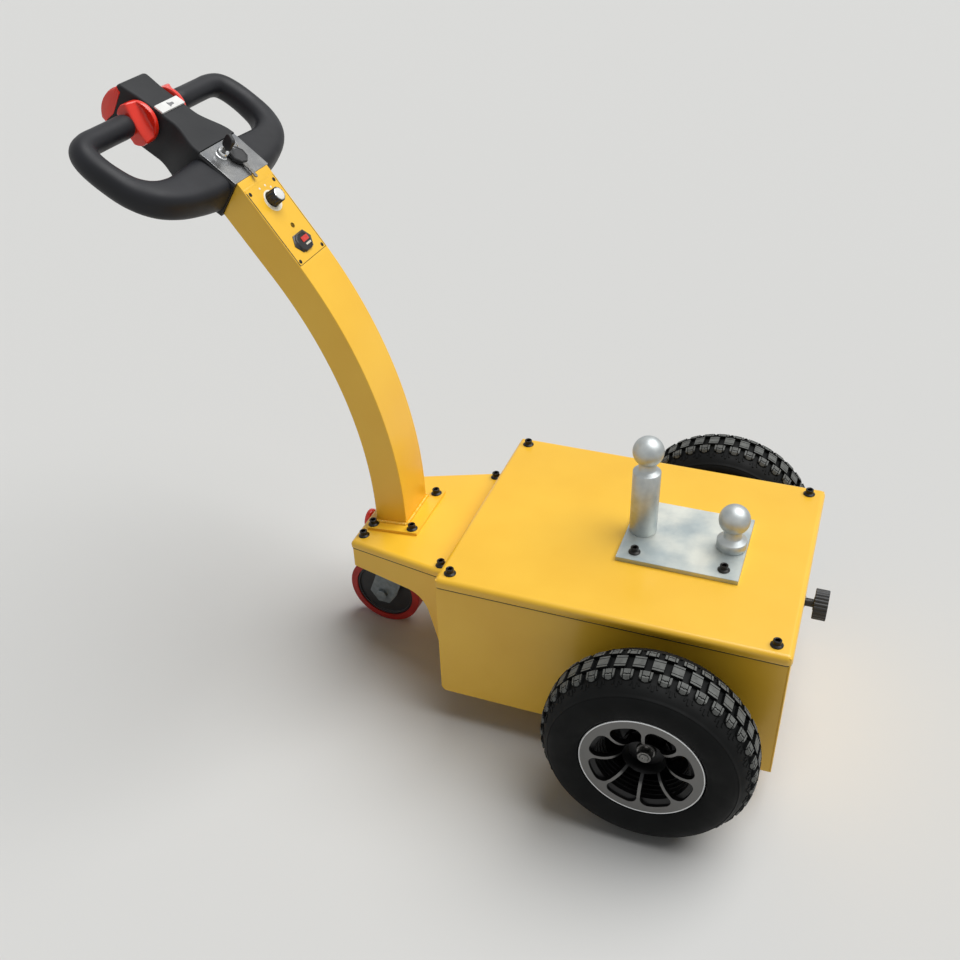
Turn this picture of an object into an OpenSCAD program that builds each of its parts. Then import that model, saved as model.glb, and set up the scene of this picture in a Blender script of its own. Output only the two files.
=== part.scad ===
// Walk-behind electric baggage tug: a steel box on two driven tyres and one swivel caster,
// with two tow balls on top and a curved tiller arm that ends in a control head.
// Units are millimetres, +Z is up, the floor is Z = 0 and the tow end faces +X.

/* [Body box] */
// Length of the main box
body_len = 549; // [450:1:700]
// Width of the main box over its side plates
body_w = 434; // [380:1:520]
// Height of the floor pan above the ground
body_z0 = 72; // [50:1:100]
// Height of the main box walls from the floor pan to the lid
body_h = 240; // [200:1:300]
// Distance from the drive axle to the tow end of the box
tow_overhang = 178; // [160:1:260]
// Thickness of the folded steel sheet
sheet_t = 3; // [2:0.5:5]
// Radius of the lower handle-side corner of a side plate
side_corner_r = 10; // [2:1:20]
// Radius of the folded edges of lid and deck
bend_r = 7; // [4:1:10]

/* [Lid] */
// How far the lid stands out past the box on each side
lid_overlap = 2; // [1:0.5:4]
// Height of the folded lip round the lid
lid_lip = 16; // [8:1:25]

/* [Step] */
// Length of the step in front of the box
step_len = 205; // [180:1:260]
// How far the step's sides stand in from the box's sides
step_inset = 61; // [50:1:75]
// How much narrower each side of the step is at its free end
step_narrowing = 52; // [30:1:60]
// Height of the deck where it meets the box
deck_z0 = 275.5; // [250:0.5:290]
// Slope of the deck, down towards the handle
deck_slope = 5.4; // [0:0.1:8]
// Height of the folded lip round the deck
deck_lip = 13; // [8:1:20]
// Height of the step's flat lower edge
step_z0 = 202; // [190:0.5:215]
// Radius of the arch cut in the step's side plates
arch_r = 44; // [30:1:60]
// Width of the foot of a step side plate beside the box
arch_leg = 21; // [15:1:50]
// Lean of the arch's edge from upright
arch_lean = 16.7; // [0:0.1:25]
// Thickness of the floor plate that carries the caster
step_floor_t = 5; // [4:0.5:8]

/* [Stop button] */
// Radius of the red mushroom head
stop_head_r = 20; // [15:0.5:25]
// Thickness of the mushroom head
stop_head_t = 11; // [8:0.5:15]
// Length of the collar behind the head
stop_collar_len = 10; // [6:0.5:15]

/* [Tow plate and tow balls] */
// Length of the tow plate along X
tow_plate_len = 194; // [180:1:240]
// Width of the tow plate
tow_plate_w = 166; // [120:1:220]
// Thickness of the tow plate
tow_plate_t = 8; // [6:0.5:14]
// Distance of the tow plate's middle from the drive axle, towards the handle
tow_plate_shift = 18; // [0:1:60]
// Distance between the tow plate's bolts along X
tow_bolt_dx = 142; // [130:1:160]
// Distance between the tow plate's bolts along Y
tow_bolt_dy = 124; // [90:1:140]
// Radius of the tow plate's bolt holes
tow_hole_r = 5.5; // [4.5:0.5:7]
// Radius of both tow balls
ball_r = 25; // [20:0.5:30]
// Distance of the tall ball from the drive axle, towards the handle
tall_shift = 90; // [75:1:95]
// Radius of the tall ball's post
tall_post_r = 22.5; // [18:0.5:30]
// Height of the tall ball's centre above the tow plate
tall_ball_h = 153; // [120:1:200]
// Distance of the short ball from the drive axle, towards the tow end
short_shift = 54; // [45:1:60]
// Radius of the short ball's collar
short_collar_r = 24; // [20:0.5:30]
// Height of the short ball's collar
short_collar_h = 20; // [12:1:25]
// Height of the short ball's centre above the tow plate
short_ball_h = 54; // [48:1:80]
// Radius of the necks under the balls
neck_r = 14; // [10:0.5:18]

/* [Release knob] */
// Radius of the fluted knob on the tow end
knob_r = 25; // [18:0.5:30]
// Thickness of the fluted knob
knob_t = 22; // [15:0.5:30]
// Radius of the knob's stem
knob_stem_r = 9.5; // [6:0.5:12]
// Length of the knob's stem
knob_stem_len = 16; // [10:1:30]
// Height of the knob's middle above the ground
knob_z = 242; // [180:1:280]

/* [Drive wheels] */
// Radius of the tyre over its lugs
tyre_r = 163.5; // [155:0.5:175]
// Width of the tyre
tyre_w = 118; // [100:1:125]
// Gap between the box and a tyre
wheel_gap = 27.5; // [25:0.5:60]
// Distance of the rim's ring from the tyre's middle plane
ring_z = 49.5; // [44:0.5:56]
// Radius of the rim's outer ring
rim_r = 93.5; // [88:0.5:100]
// Radius of the bead seat
bead_r = 76; // [70:0.5:80]
// Radius of the drive shaft
shaft_r = 15; // [10:0.5:20]
// Radius of the hub
hub_r = 32; // [26:1:40]
// Number of spokes
spoke_count = 8; // [5:1:12]

/* [Caster] */
// Radius of the caster wheel
caster_r = 71; // [60:0.5:75]
// Width of the caster tread
caster_w = 30; // [25:1:45]
// Thickness of the polyurethane tread
caster_tread_t = 13; // [6:0.5:15]
// Distance from the swivel axis to the wheel's axle
caster_trail = 45; // [30:1:55]
// Distance from the free end of the step to the swivel axis
caster_inset = 50.5; // [50:0.5:90]
// Swivel angle at rest, from straight back towards the left
caster_rest = 2.5; // [-10:0.5:10]
// Thickness of the fork's sheet
fork_t = 4; // [3:0.5:6]

/* [Arm] */
// Width of the arm's rectangular tube
arm_w = 90; // [70:1:110]
// Depth of the arm's rectangular tube
arm_d = 57; // [45:1:70]
// Wall of the arm's tube
arm_wall = 4; // [3:0.5:6]
// Radius of the arm's outer face
arm_r = 795; // [650:1:950]
// Angle through which the arm bends
arm_bend = 36.1; // [25:0.1:45]
// Length of the straight part that carries the panel
arm_straight = 142; // [140:1:180]
// Distance from the box to the arm's outer face at its foot
arm_foot_gap = 127; // [115:1:130]
// Length of the foot plate
foot_len = 95; // [90:1:110]
// Width of the foot plate
foot_w = 135; // [120:1:150]
// Thickness of the foot plate
foot_t = 5.5; // [4:0.5:10]

/* [Arm panel] */
// Length of the panel on the straight part of the arm
panel_len = 137; // [125:1:138]
// Width of the panel
panel_w = 84; // [70:0.5:85]
// Thickness of the panel
panel_t = 2; // [1:0.5:3]
// Radius of the speed knob
speed_r = 13; // [8:0.5:16]
// Height of the speed knob
speed_h = 20; // [10:0.5:24]
// Length of the battery meter's bezel
meter_len = 34; // [24:0.5:40]
// Width of the battery meter's bezel
meter_w = 34; // [24:0.5:40]

/* [Control head] */
// Tilt of the control head above level
head_tilt = 32.8; // [25:0.1:40]
// Length of the head in front of the key plate
head_len = 164; // [150:1:180]
// Half width of the head at its front
head_half_front = 35; // [33:0.5:40]
// Half width of the head at its waist
head_half_waist = 31; // [28:0.5:33]
// Half width of the yoke where the grips join it
yoke_half = 51; // [48:0.5:60]
// Depth of the head and the yoke
head_depth = 73; // [66:1:80]
// Length of the key plate
key_len = 69; // [60:1:80]
// Thickness of the key plate
key_plate_t = 2.5; // [1.5:0.5:4]
// Radius of the grip bar
grip_r = 18; // [15:0.5:20]
// Distance of the grip bar in front of the key plate
grip_u = 112; // [108:1:118]
// Depth of the grip bar's axis below the head's top
grip_n = 31; // [28:0.5:36]
// Radius of the thumb wheels
thumb_r = 33; // [28:0.5:36]
// Thickness of the thumb wheels over their bars
thumb_t = 26.7; // [20:0.1:28]
// Thickness of their discs
thumb_disc_t = 8; // [5:0.5:12]
// Width of their bars
thumb_bar_w = 36; // [24:1:44]
// Distance of the thumb wheels in front of the key plate
thumb_u = 108; // [100:1:118]
// Turn of their bars from the head's top
thumb_turn = 33; // [0:1:60]

/* [Heavy masses inside] */
// Clearance of the battery block from the box's end and the drive motor
battery_gap = 14; // [8:1:30]
// Width of the battery block
battery_w = 380; // [300:1:400]
// Height of the battery block
battery_h = 190; // [150:1:220]
// Length, width and height of the drive motor block
motor_size = [190, 200, 150];

/* [Hidden] */
$fn = 64;
// Clearance between pieces that only lie close to each other
fit = 0.3;
// Radial clearance of running shafts
run = 0.05;
box_x1 = tow_overhang;
box_x0 = tow_overhang - body_len;
box_half = body_w / 2;
lid_z0 = body_z0 + body_h;
lid_top = lid_z0 + sheet_t;
step_x1 = box_x0 - step_len;
step_half0 = box_half - step_inset;
step_half1 = step_half0 - step_narrowing;
track_half = box_half + wheel_gap + tyre_w / 2;
tow_top = lid_top + tow_plate_t;
caster_x = step_x1 + caster_inset;
caster_axle = [caster_x - caster_trail, caster_r];
arm_cx = box_x0 - arm_foot_gap - arm_r;
arm_cz = deck_z0 - 1.8;
arm_bend_end = [arm_cx + arm_r * cos(arm_bend), arm_cz + arm_r * sin(arm_bend)];
arm_end = arm_bend_end + arm_straight * [-sin(arm_bend), cos(arm_bend)];
// The head's datum is the key end of its top face
key_drop = 8.7;
head_at = arm_end + key_len * [-cos(head_tilt), sin(head_tilt)]
    + key_drop * [sin(head_tilt), cos(head_tilt)];
paddle_r = 46;
paddle_u = head_len - 33;
paddle_n = -42;
// The whole tug runs from the paddle's front to the end of the release knob
x_low = head_at[0] - paddle_u * cos(head_tilt) + paddle_n * sin(head_tilt) - paddle_r;
x_high = box_x1 + knob_stem_len + knob_t;
x_shift = -(x_low + x_high) / 2;

yellow = "#f5c32c";
zinc = "#c9cdd0";
black = "#1c1d1f";
red = "#d8281c";

// Moves children from the frame of the drive axle to the frame of the whole tug
module placed() { translate([x_shift, 0, 0]) children(); }

// A frame at point p of the middle plane, whose X climbs towards the handle at an angle
module climbing(p, angle) {
    translate([p[0], 0, p[1]]) rotate([0, angle, 0]) rotate([0, 0, 180]) children();
}

module on_deck() { climbing([box_x0, deck_z0], -deck_slope) children(); }
module on_arm() { climbing(arm_bend_end, 90 - arm_bend) children(); }
module on_head() { climbing(head_at, head_tilt) children(); }

// A cylinder along Y, centred on it
module along_y(r, len) { rotate([90, 0, 0]) cylinder(r = r, h = len, center = true); }

// A box with its two upper long edges rounded, extruded along X
module bent_x(len, half, h, r) {
    rotate([90, 0, 90]) linear_extrude(len) {
        translate([-half, 0]) square([2 * half, h - r]);
        translate([-half + r, 0]) square([2 * half - 2 * r, h]);
        for (s = [-1, 1]) translate([s * (half - r), h - r]) circle(r);
    }
}

// A sheet tray that opens downwards, with its folds rounded
module tray(len, half, h, r, t) {
    difference() {
        intersection() {
            bent_x(len, half, h, r);
            translate([0, half, 0]) rotate([0, 0, -90]) translate([0, len / 2, 0])
                bent_x(2 * half, len / 2, h, r);
        }
        translate([t, -half + t, -1]) cube([len - 2 * t, 2 * half - 2 * t, h - t + 1]);
    }
}

module side_plate() {
    color(yellow) difference() {
        translate([box_x0, box_half - sheet_t, body_z0]) cube([body_len - sheet_t, sheet_t, body_h]);
        // rounded lower corner at the handle side
        translate([box_x0, box_half, body_z0]) rotate([90, 0, 0])
            translate([0, 0, -1]) linear_extrude(sheet_t + 2) difference() {
                translate([-1, -1]) square(side_corner_r + 1);
                translate([side_corner_r, side_corner_r]) circle(side_corner_r);
            }
        // hole that the axle tube fills
        translate([0, box_half, tyre_r]) along_y(axle_tube_r, 4 * sheet_t);
    }
}
module side_plate_left() { placed() side_plate(); }
module side_plate_right() { placed() mirror([0, 1, 0]) side_plate(); }

module tow_end_plate() {
    color(yellow) placed() translate([box_x1 - sheet_t, -box_half, body_z0])
        cube([sheet_t, body_w, body_h]);
}

module handle_end_wall() {
    color(yellow) placed() translate([box_x0, -box_half + sheet_t, body_z0 + side_corner_r])
        cube([sheet_t, body_w - 2 * sheet_t, body_h - side_corner_r]);
}

module floor_pan() {
    color(yellow) placed() translate([box_x0 + side_corner_r, -box_half + sheet_t, body_z0])
        cube([body_len - side_corner_r - sheet_t, body_w - 2 * sheet_t, sheet_t]);
}

module top_lid() {
    color(yellow) placed() difference() {
        translate([box_x0 - lid_overlap - fit, 0, lid_top - lid_lip])
            tray(body_len + 2 * lid_overlap + 2 * fit, box_half + lid_overlap + fit, lid_lip, bend_r,
                lid_overlap);
        tow_bolt_holes();
    }
}

step_taper = atan((step_half0 - step_half1) / step_len);
step_edge = step_len / cos(step_taper);
deck_drop = step_len * tan(deck_slope);
deck_under = deck_z0 - sheet_t / cos(deck_slope) - fit / 2;

// Distance from the box to the arch's edge at height z
function leg_at(z) = arch_leg + (z - body_z0) * tan(arch_lean);
arch_z = step_z0 - arch_r;
arch_s = leg_at(arch_z) + arch_r / cos(arch_lean);

// Outline of a step side plate: X runs along the plate away from the box, Y is height
module step_side_outline() {
    foot_z = body_z0 + side_corner_r;
    difference() {
        polygon([[0, foot_z], [0, deck_under],
            [step_edge, deck_under - deck_drop], [step_edge, foot_z]]);
        polygon([[leg_at(0), 0], [arch_s - arch_r * cos(arch_lean), arch_z + arch_r * sin(arch_lean)],
            [arch_s, step_z0], [2 * step_edge, step_z0], [2 * step_edge, 0]]);
        translate([arch_s, arch_z]) circle(arch_r);
    }
}

module step_side() {
    color(yellow) difference() {
        translate([box_x0, -step_half0, 0]) rotate([0, 0, 180 - step_taper])
            rotate([90, 0, 0]) linear_extrude(sheet_t) step_side_outline();
        // the plate's end is mitred against the box
        translate([box_x0, -box_half, 0]) cube([sheet_t, body_w, 2 * body_h]);
    }
}
module step_side_left() { placed() mirror([0, 1, 0]) step_side(); }
module step_side_right() { placed() step_side(); }

module step_end_plate() {
    color(yellow) placed() difference() {
        translate([step_x1, -step_half1 + sheet_t + fit, step_z0])
            cube([sheet_t, 2 * (step_half1 - sheet_t - fit), deck_under - deck_drop - step_z0]);
        translate([step_x1, 0, stop_z]) rotate([0, 90, 0]) cylinder(r = stop_bush_r, h = 20, center = true);
    }
}

function step_half(at) = step_half0 - step_narrowing * at / step_len;

// Plan outline of the step between two distances from the box, made larger by grow
module step_plan(from, to, grow) {
    polygon([[from, step_half(from) + grow], [to, step_half(to) + grow],
        [to, -step_half(to) - grow], [from, -step_half(from) - grow]]);
}

module step_deck() {
    tilt_back = deck_lip * tan(deck_slope);
    deck_len = step_len / cos(deck_slope) + tilt_back + fit + lid_overlap;
    side_fit = fit + tilt_back * step_narrowing / step_len;
    color(yellow) placed() difference() {
        on_deck() difference() {
            translate([0, 0, -deck_lip]) linear_extrude(deck_lip)
                step_plan(-deck_lip, deck_len, lid_overlap + side_fit);
            translate([0, 0, -deck_lip - 1]) linear_extrude(deck_lip + 1 - sheet_t)
                step_plan(-2 * deck_lip, deck_len - lid_overlap, side_fit);
        }
        // the deck stops at the box
        translate([box_x0, -box_half, deck_z0 - body_h / 2]) cube([body_h, body_w, body_h]);
    }
}

module step_floor() {
    color(yellow) placed() translate([box_x0, 0, step_z0]) rotate([0, 0, 180])
        linear_extrude(step_floor_t) step_plan(0, step_len - sheet_t, -sheet_t / cos(step_taper) - fit);
}

stop_z = 226;
stop_bush_r = 11;
module stop_button() {
    placed() translate([step_x1, 0, stop_z]) rotate([0, -90, 0]) {
        color("#f2d21c") translate([0, 0, 0]) cylinder(r = 16, h = 2);
        color(black) translate([0, 0, -sheet_t]) cylinder(r = stop_bush_r - fit, h = stop_collar_len + sheet_t);
        color(red) translate([0, 0, stop_collar_len]) cylinder(r1 = stop_head_r - 4, r2 = stop_head_r, h = 4);
        color(red) translate([0, 0, stop_collar_len + 4]) cylinder(r = stop_head_r, h = stop_head_t - 7);
        color(red) translate([0, 0, stop_collar_len + stop_head_t - 3])
            cylinder(r1 = stop_head_r, r2 = stop_head_r - 4, h = 3);
    }
}

module battery_block() {
    battery_len = -motor_size[0] / 2 - battery_gap - (box_x0 + battery_gap);
    color(black) placed() translate([box_x0 + battery_gap, -battery_w / 2, body_z0 + sheet_t])
        cube([battery_len, battery_w, battery_h]);
}

axle_tube_r = 24;
module drive_motor() {
    color("gray") placed() difference() {
        translate([-motor_size[0] / 2, -motor_size[1] / 2, body_z0 + sheet_t])
            cube([motor_size[0], motor_size[1], motor_size[2]]);
        translate([0, 0, tyre_r]) along_y(shaft_r + 1, motor_size[1] + 2);
    }
}

// Distance of the outer end of an axle tube from the middle
tube_end = box_half + 0.8 * wheel_gap;
axle_flange = 84;
axle_flange_t = 8;
module axle_tube() {
    difference() {
        union() {
            translate([0, (motor_size[1] / 2 + tube_end) / 2, tyre_r])
                along_y(axle_tube_r, tube_end - motor_size[1] / 2);
            translate([-axle_flange / 2, box_half, tyre_r - axle_flange / 2])
                cube([axle_flange, axle_flange_t, axle_flange]);
        }
        translate([0, tube_end / 2, tyre_r]) along_y(shaft_r + run, tube_end + 2);
    }
}
module axle_tubes() {
    color("#3a3c3e") placed() {
        axle_tube();
        mirror([0, 1, 0]) axle_tube();
    }
}

// Holes for the four bolts of the tow plate
module tow_bolt_holes() {
    for (sx = [-1, 1], sy = [-1, 1])
        translate([-tow_plate_shift + sx * tow_bolt_dx / 2, sy * tow_bolt_dy / 2, lid_top - lid_lip])
            cylinder(r = tow_hole_r, h = lid_lip + 2 * tow_plate_t);
}

module tow_plate() {
    color(zinc) placed() difference() {
        translate([-tow_plate_shift - tow_plate_len / 2, -tow_plate_w / 2, lid_top])
            cube([tow_plate_len, tow_plate_w, tow_plate_t]);
        tow_bolt_holes();
    }
}

// A turned tow ball: a post with a bevelled shoulder, a neck and a ball with a flat on top
module tow_ball(post_r, post_h, ball_h) {
    shoulder = post_r - neck_r;
    cylinder(r = post_r, h = post_h - shoulder / 2);
    translate([0, 0, post_h - shoulder / 2]) cylinder(r1 = post_r, r2 = neck_r, h = shoulder / 2);
    cylinder(r = neck_r, h = ball_h);
    translate([0, 0, ball_h]) sphere(ball_r);
}
module tall_tow_ball() {
    color(zinc) placed() translate([-tall_shift, 0, tow_top])
        tow_ball(tall_post_r, tall_ball_h - ball_r - 8, tall_ball_h);
}
module short_tow_ball() {
    color(zinc) placed() translate([short_shift, 0, tow_top])
        tow_ball(short_collar_r, short_collar_h, short_ball_h);
}

module release_knob() {
    color(black) placed() translate([box_x1, 0, knob_z]) rotate([0, 90, 0]) {
        cylinder(r = knob_stem_r, h = knob_stem_len + 1);
        translate([0, 0, knob_stem_len]) cylinder(r = knob_r, h = knob_t);
    }
}

module arm_foot_plate() {
    foot_u1 = (arm_foot_gap - 29.5) / cos(deck_slope);
    color(yellow) placed() on_deck() translate([foot_u1, -foot_w / 2, 0]) cube([foot_len, foot_w, foot_t]);
}

// Side view of the arm, its faces moved inwards by inset: an arc that runs into a straight
module arm_side(inset) {
    reach = 2 * arm_r;
    difference() {
        union() {
            circle(arm_r - inset, $fn = 180);
            rotate(arm_bend) square([arm_r - inset, arm_straight + 60]);
        }
        circle(arm_r - arm_d + inset, $fn = 180);
        rotate(arm_bend) square([arm_r - arm_d + inset, reach]);
        rotate(-4) translate([-reach, -reach]) square([2 * reach, reach]);
        translate([-reach, -reach]) square([reach, 2 * reach]);
    }
}

module arm_tube() {
    translate([arm_cx, 0, arm_cz]) rotate([90, 0, 0]) difference() {
        translate([0, 0, -arm_w / 2]) linear_extrude(arm_w) arm_side(0);
        translate([0, 0, -arm_w / 2 + arm_wall]) linear_extrude(arm_w - 2 * arm_wall) arm_side(arm_wall);
    }
}

module tiller_arm() {
    color(yellow) placed() difference() {
        arm_tube();
        // the foot is cut to lie on the foot plate
        on_deck() translate([0, -100, foot_t - 200]) cube([400, 200, 200]);
        // the top is cut to lie on the yoke
        on_head() translate([-key_len, -100, -200]) cube([300, 200, 400]);
        // pocket for the panel
        on_arm() translate([panel_u0 - fit, -panel_w / 2 - fit, -panel_t])
            cube([panel_len + 2 * fit, panel_w + 2 * fit, 20]);
    }
}

panel_u0 = -11;
module arm_panel() {
    color(yellow) placed() on_arm() translate([panel_u0, -panel_w / 2, -panel_t])
        cube([panel_len, panel_w, panel_t]);
}

speed_u = 94;
module speed_knob() {
    color(black) placed() on_arm() translate([speed_u, 0, 0]) {
        cylinder(r = speed_r + 3, h = 1);
        cylinder(r = speed_r, h = speed_h);
    }
}

meter_u = 15;
module battery_meter() {
    color(black) placed() on_arm() translate([meter_u, 0, 0]) linear_extrude(4)
        polygon([for (k = [[-0.5, -0.25], [-0.3, -0.5], [0.3, -0.5], [0.5, -0.25],
            [0.5, 0.25], [0.3, 0.5], [-0.3, 0.5], [-0.5, 0.25]]) [k[0] * meter_len, k[1] * meter_w]]);
}

// A smooth step from 0 to 1
function ease(t) = let(c = min(1, max(0, t))) c * c * (3 - 2 * c);
// Half width of the head at distance u in front of the key plate
function head_half(u) = head_half_waist
    + (yoke_half - head_half_waist) * (1 - ease((u - 6) / 58))
    + (head_half_front - head_half_waist) * ease((u - head_len + 45) / 40);

module head_housing() {
    steps = 24;
    side = [for (i = [0 : steps]) let(u = head_len * i / steps) [u, head_half(u)]];
    color(black) placed() on_head() {
        // head in front of the key plate
        intersection() {
            translate([0, 0, -head_depth]) linear_extrude(head_depth) polygon(concat(
                [[-key_len, yoke_half]], side,
                [for (i = [steps : -1 : 0]) [side[i][0], -side[i][1]]], [[-key_len, -yoke_half]]));
            rotate([90, 0, 0]) translate([0, 0, -100]) linear_extrude(200) difference() {
                polygon([[-key_len, -head_depth], [head_len, -head_depth], [head_len, 0],
                    [0, 0], [0, -key_plate_t - 2], [-key_len, -key_drop - key_plate_t]]);
                translate([head_len - 10, -10]) difference() {
                    square(20);
                    circle(10);
                }
                translate([head_len - 14, -head_depth - 6]) difference() {
                    translate([0, 0]) square(20);
                    translate([0, 20]) circle(14);
                }
            }
        }
    }
}

module key_plate() {
    color("#55585c") placed() on_head() rotate([90, 0, 0]) translate([0, 0, -yoke_half + 2])
        linear_extrude(2 * yoke_half - 4) polygon([[-key_len, -key_drop - key_plate_t],
            [-fit, -key_plate_t - 2], [-fit, -2], [-key_len, -key_drop]]);
}

key_tilt = atan((key_drop - 2) / key_len);
module key_switch() {
    color("silver") placed() on_head() translate([-20, 17, -1.7 - 20 * tan(key_tilt)]) rotate([0, -key_tilt, 0]) {
        cylinder(r = 11, h = 4);
        cylinder(r = 9, h = 10);
        translate([-1.2, -7, 10]) cube([2.4, 14, 27]);
    }
}

module horn_button() {
    color("#d9dbdc") placed() on_head() translate([82, -30, 0]) cube([17, 60, 3]);
}

module belly_paddle() {
    color(red) placed() on_head() difference() {
        translate([paddle_u, 0, paddle_n]) along_y(paddle_r, 60);
        translate([-100, -100, -200]) cube([100 + head_len + fit, 200, 400]);
        translate([0, -100, -12]) cube([400, 200, 100]);
        translate([0, -100, -head_depth - 100]) cube([400, 200, 100]);
    }
}

// A thumb wheel: a disc beside the head with a grip bar across it
module thumb_wheel() {
    boss_y = head_half_waist + fit;
    disc_y = head_half_waist + 4;
    color(red) on_head() translate([thumb_u, 0, -grip_n]) rotate([-90, 0, 0]) {
        translate([0, 0, boss_y]) cylinder(r = grip_r - 3, h = 5);
        translate([0, 0, disc_y]) cylinder(r = thumb_r, h = thumb_disc_t);
        translate([0, 0, disc_y + thumb_disc_t / 2]) linear_extrude(thumb_t - thumb_disc_t / 2)
            rotate(-thumb_turn) intersection() {
                circle(thumb_r - 0.5);
                square([2 * thumb_r, thumb_bar_w], center = true);
            }
    }
}
module thumb_wheel_right() { placed() thumb_wheel(); }
module thumb_wheel_left() { placed() mirror([0, 1, 0]) thumb_wheel(); }

// Stations of a grip from the grip bar round to the yoke.
// Columns: forward u, sideways y, half width, half depth, depth of the middle below the top
grip_stations = [
    [112, 62, 18, 18, 31],
    [112, 95, 18, 18, 31],
    [112, 135, 18, 18, 31],
    [111, 161, 18.5, 18.5, 31],
    [103, 181, 19.5, 19.5, 31.5],
    [82, 190, 20, 20, 32],
    [50, 191, 20, 21, 33],
    [16, 184, 22, 22, 34],
    [-10, 163, 25, 24, 35],
    [-25, 130, 29, 26, 36],
    [-30, 90, 34, 28, 38],
    [-31, 51, 37, 31, 41]];
grip_sides = 20;
grip_sub = 3;

// Catmull-Rom point between stations i and i + 1
function grip_at(i, t) = let(
    last = len(grip_stations) - 1,
    a = grip_stations[max(0, i - 1)], b = grip_stations[i],
    c = grip_stations[min(last, i + 1)], d = grip_stations[min(last, i + 2)])
    0.5 * ((2 * b) + (c - a) * t + (2 * a - 5 * b + 4 * c - d) * t * t
        + (3 * b - a - 3 * c + d) * t * t * t);

module grip() {
    rows = [for (i = [0 : len(grip_stations) - 2]) for (j = [0 : grip_sub - 1]) grip_at(i, j / grip_sub),
        grip_stations[len(grip_stations) - 1]];
    n = len(rows);
    points = [for (k = [0 : n - 1]) let(
        p = rows[k],
        q0 = rows[max(0, k - 1)], q1 = rows[min(n - 1, k + 1)],
        along = (k == 0 || k == n - 1) ? [0, 1] : [q1[0] - q0[0], q1[1] - q0[1]],
        unit = along / norm(along))
        for (m = [0 : grip_sides - 1]) let(
            a = 360 * m / grip_sides,
            w = p[2] * cos(a), h = p[3] * sin(a),
            sgn = (k == n - 1) ? -1 : 1)
            [p[0] + sgn * unit[1] * w, p[1] - sgn * unit[0] * w, -p[4] + h]];
    faces = [for (k = [0 : n - 2]) for (m = [0 : grip_sides - 1]) let(m1 = (m + 1) % grip_sides)
        [k * grip_sides + m, (k + 1) * grip_sides + m, (k + 1) * grip_sides + m1, k * grip_sides + m1]];
    on_head() polyhedron(points, concat(faces,
        [[for (m = [0 : grip_sides - 1]) m]],
        [[for (m = [grip_sides - 1 : -1 : 0]) (n - 1) * grip_sides + m]]), convexity = 4);
}
module grip_right() { color(black) placed() grip(); }
module grip_left() { color(black) placed() mirror([0, 1, 0]) grip(); }

// The caster: everything below its race turns about its swivel axis
caster_plate = [92, 84, 4];
race_r = 36;
race_h = 14;
race_gap = 0.5;
race_z = step_z0 - caster_plate[2] - race_h;
crown_r = 34;
crown_t = 6;
crown_z = 2 * caster_r + 15;
leg_half = 27;
leg_lean = 20;
leg_end = 20;
axle_r = 6;
hub_half = caster_w / 2 + 4;
leg_y = hub_half + 1;

module caster_top_plate() {
    color(zinc) placed() translate([caster_x, 0, step_z0 - caster_plate[2]]) {
        translate([-caster_plate[0] / 2, -caster_plate[1] / 2, 0]) cube(caster_plate);
        translate([0, 0, -race_h]) cylinder(r = race_r, h = race_h);
    }
}

module at_caster() {
    translate([caster_x, 0, 0]) rotate([0, 0, 180 - caster_rest]) children();
}

// Side view of a fork leg: it leans from the crown to the axle, where its corners are cut
module fork_leg_outline() {
    h = crown_z + crown_t - caster_r;
    lean = h * tan(leg_lean);
    translate([caster_trail - 2, caster_r]) polygon([
        [-leg_half - lean, h], [-leg_half, 2], [-leg_half / 2 + 2, -leg_end],
        [leg_half / 2 - 2, -leg_end], [leg_half, 2], [leg_half - lean, h]]);
}

module caster_fork() {
    color("#5c6266") placed() at_caster() difference() {
        union() {
            translate([0, 0, crown_z]) cylinder(r = crown_r, h = race_z - race_gap - crown_z);
            translate([-crown_r / 2, -leg_y - fork_t, crown_z])
                cube([crown_r / 2 + caster_trail, 2 * (leg_y + fork_t), crown_t]);
            for (side = [-1, 1]) translate([0, side * (leg_y + fork_t / 2) + fork_t / 2, 0])
                rotate([90, 0, 0]) linear_extrude(fork_t) fork_leg_outline();
        }
        translate([caster_trail, 0, caster_r]) along_y(axle_r + run, 4 * leg_y);
    }
}

module caster_axle_bolt() {
    bolt_half = leg_y + fork_t;
    color(zinc) placed() at_caster() translate([caster_trail, 0, caster_r]) {
        along_y(axle_r, 2 * bolt_half + axle_r);
        for (side = [-1, 1]) translate([0, side * (bolt_half + axle_r / 2), 0]) rotate([90, 0, 0])
            cylinder(r = 11, h = axle_r, center = true, $fn = 6);
    }
}

module caster_core() {
    core_r = caster_r - caster_tread_t;
    color(black) placed() at_caster() translate([caster_trail, 0, caster_r]) rotate([90, 0, 0]) difference() {
        union() {
            cylinder(r = core_r, h = caster_w - 4, center = true);
            cylinder(r = hub_half, h = 2 * hub_half, center = true);
        }
        cylinder(r = axle_r + run, h = 4 * caster_w, center = true);
        // the web is thinner than the core's outer band
        for (side = [-1, 1]) translate([0, 0, side * caster_w / 2]) difference() {
            cylinder(r = core_r - 5, h = caster_w / 3, center = true);
            cylinder(r = hub_half, h = caster_w, center = true);
        }
    }
}

module caster_tread() {
    edge = 2;
    core_r = caster_r - caster_tread_t;
    color(red) placed() at_caster() translate([caster_trail, 0, caster_r]) rotate([90, 0, 0])
        rotate_extrude($fn = 96) {
            translate([core_r, -caster_w / 2]) square([caster_tread_t - edge, caster_w]);
            translate([core_r, -caster_w / 2 + edge]) square([caster_tread_t, caster_w - 2 * edge]);
            for (side = [-1, 1]) translate([caster_r - edge, side * (caster_w / 2 - edge)]) circle(edge);
        }
}

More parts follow.
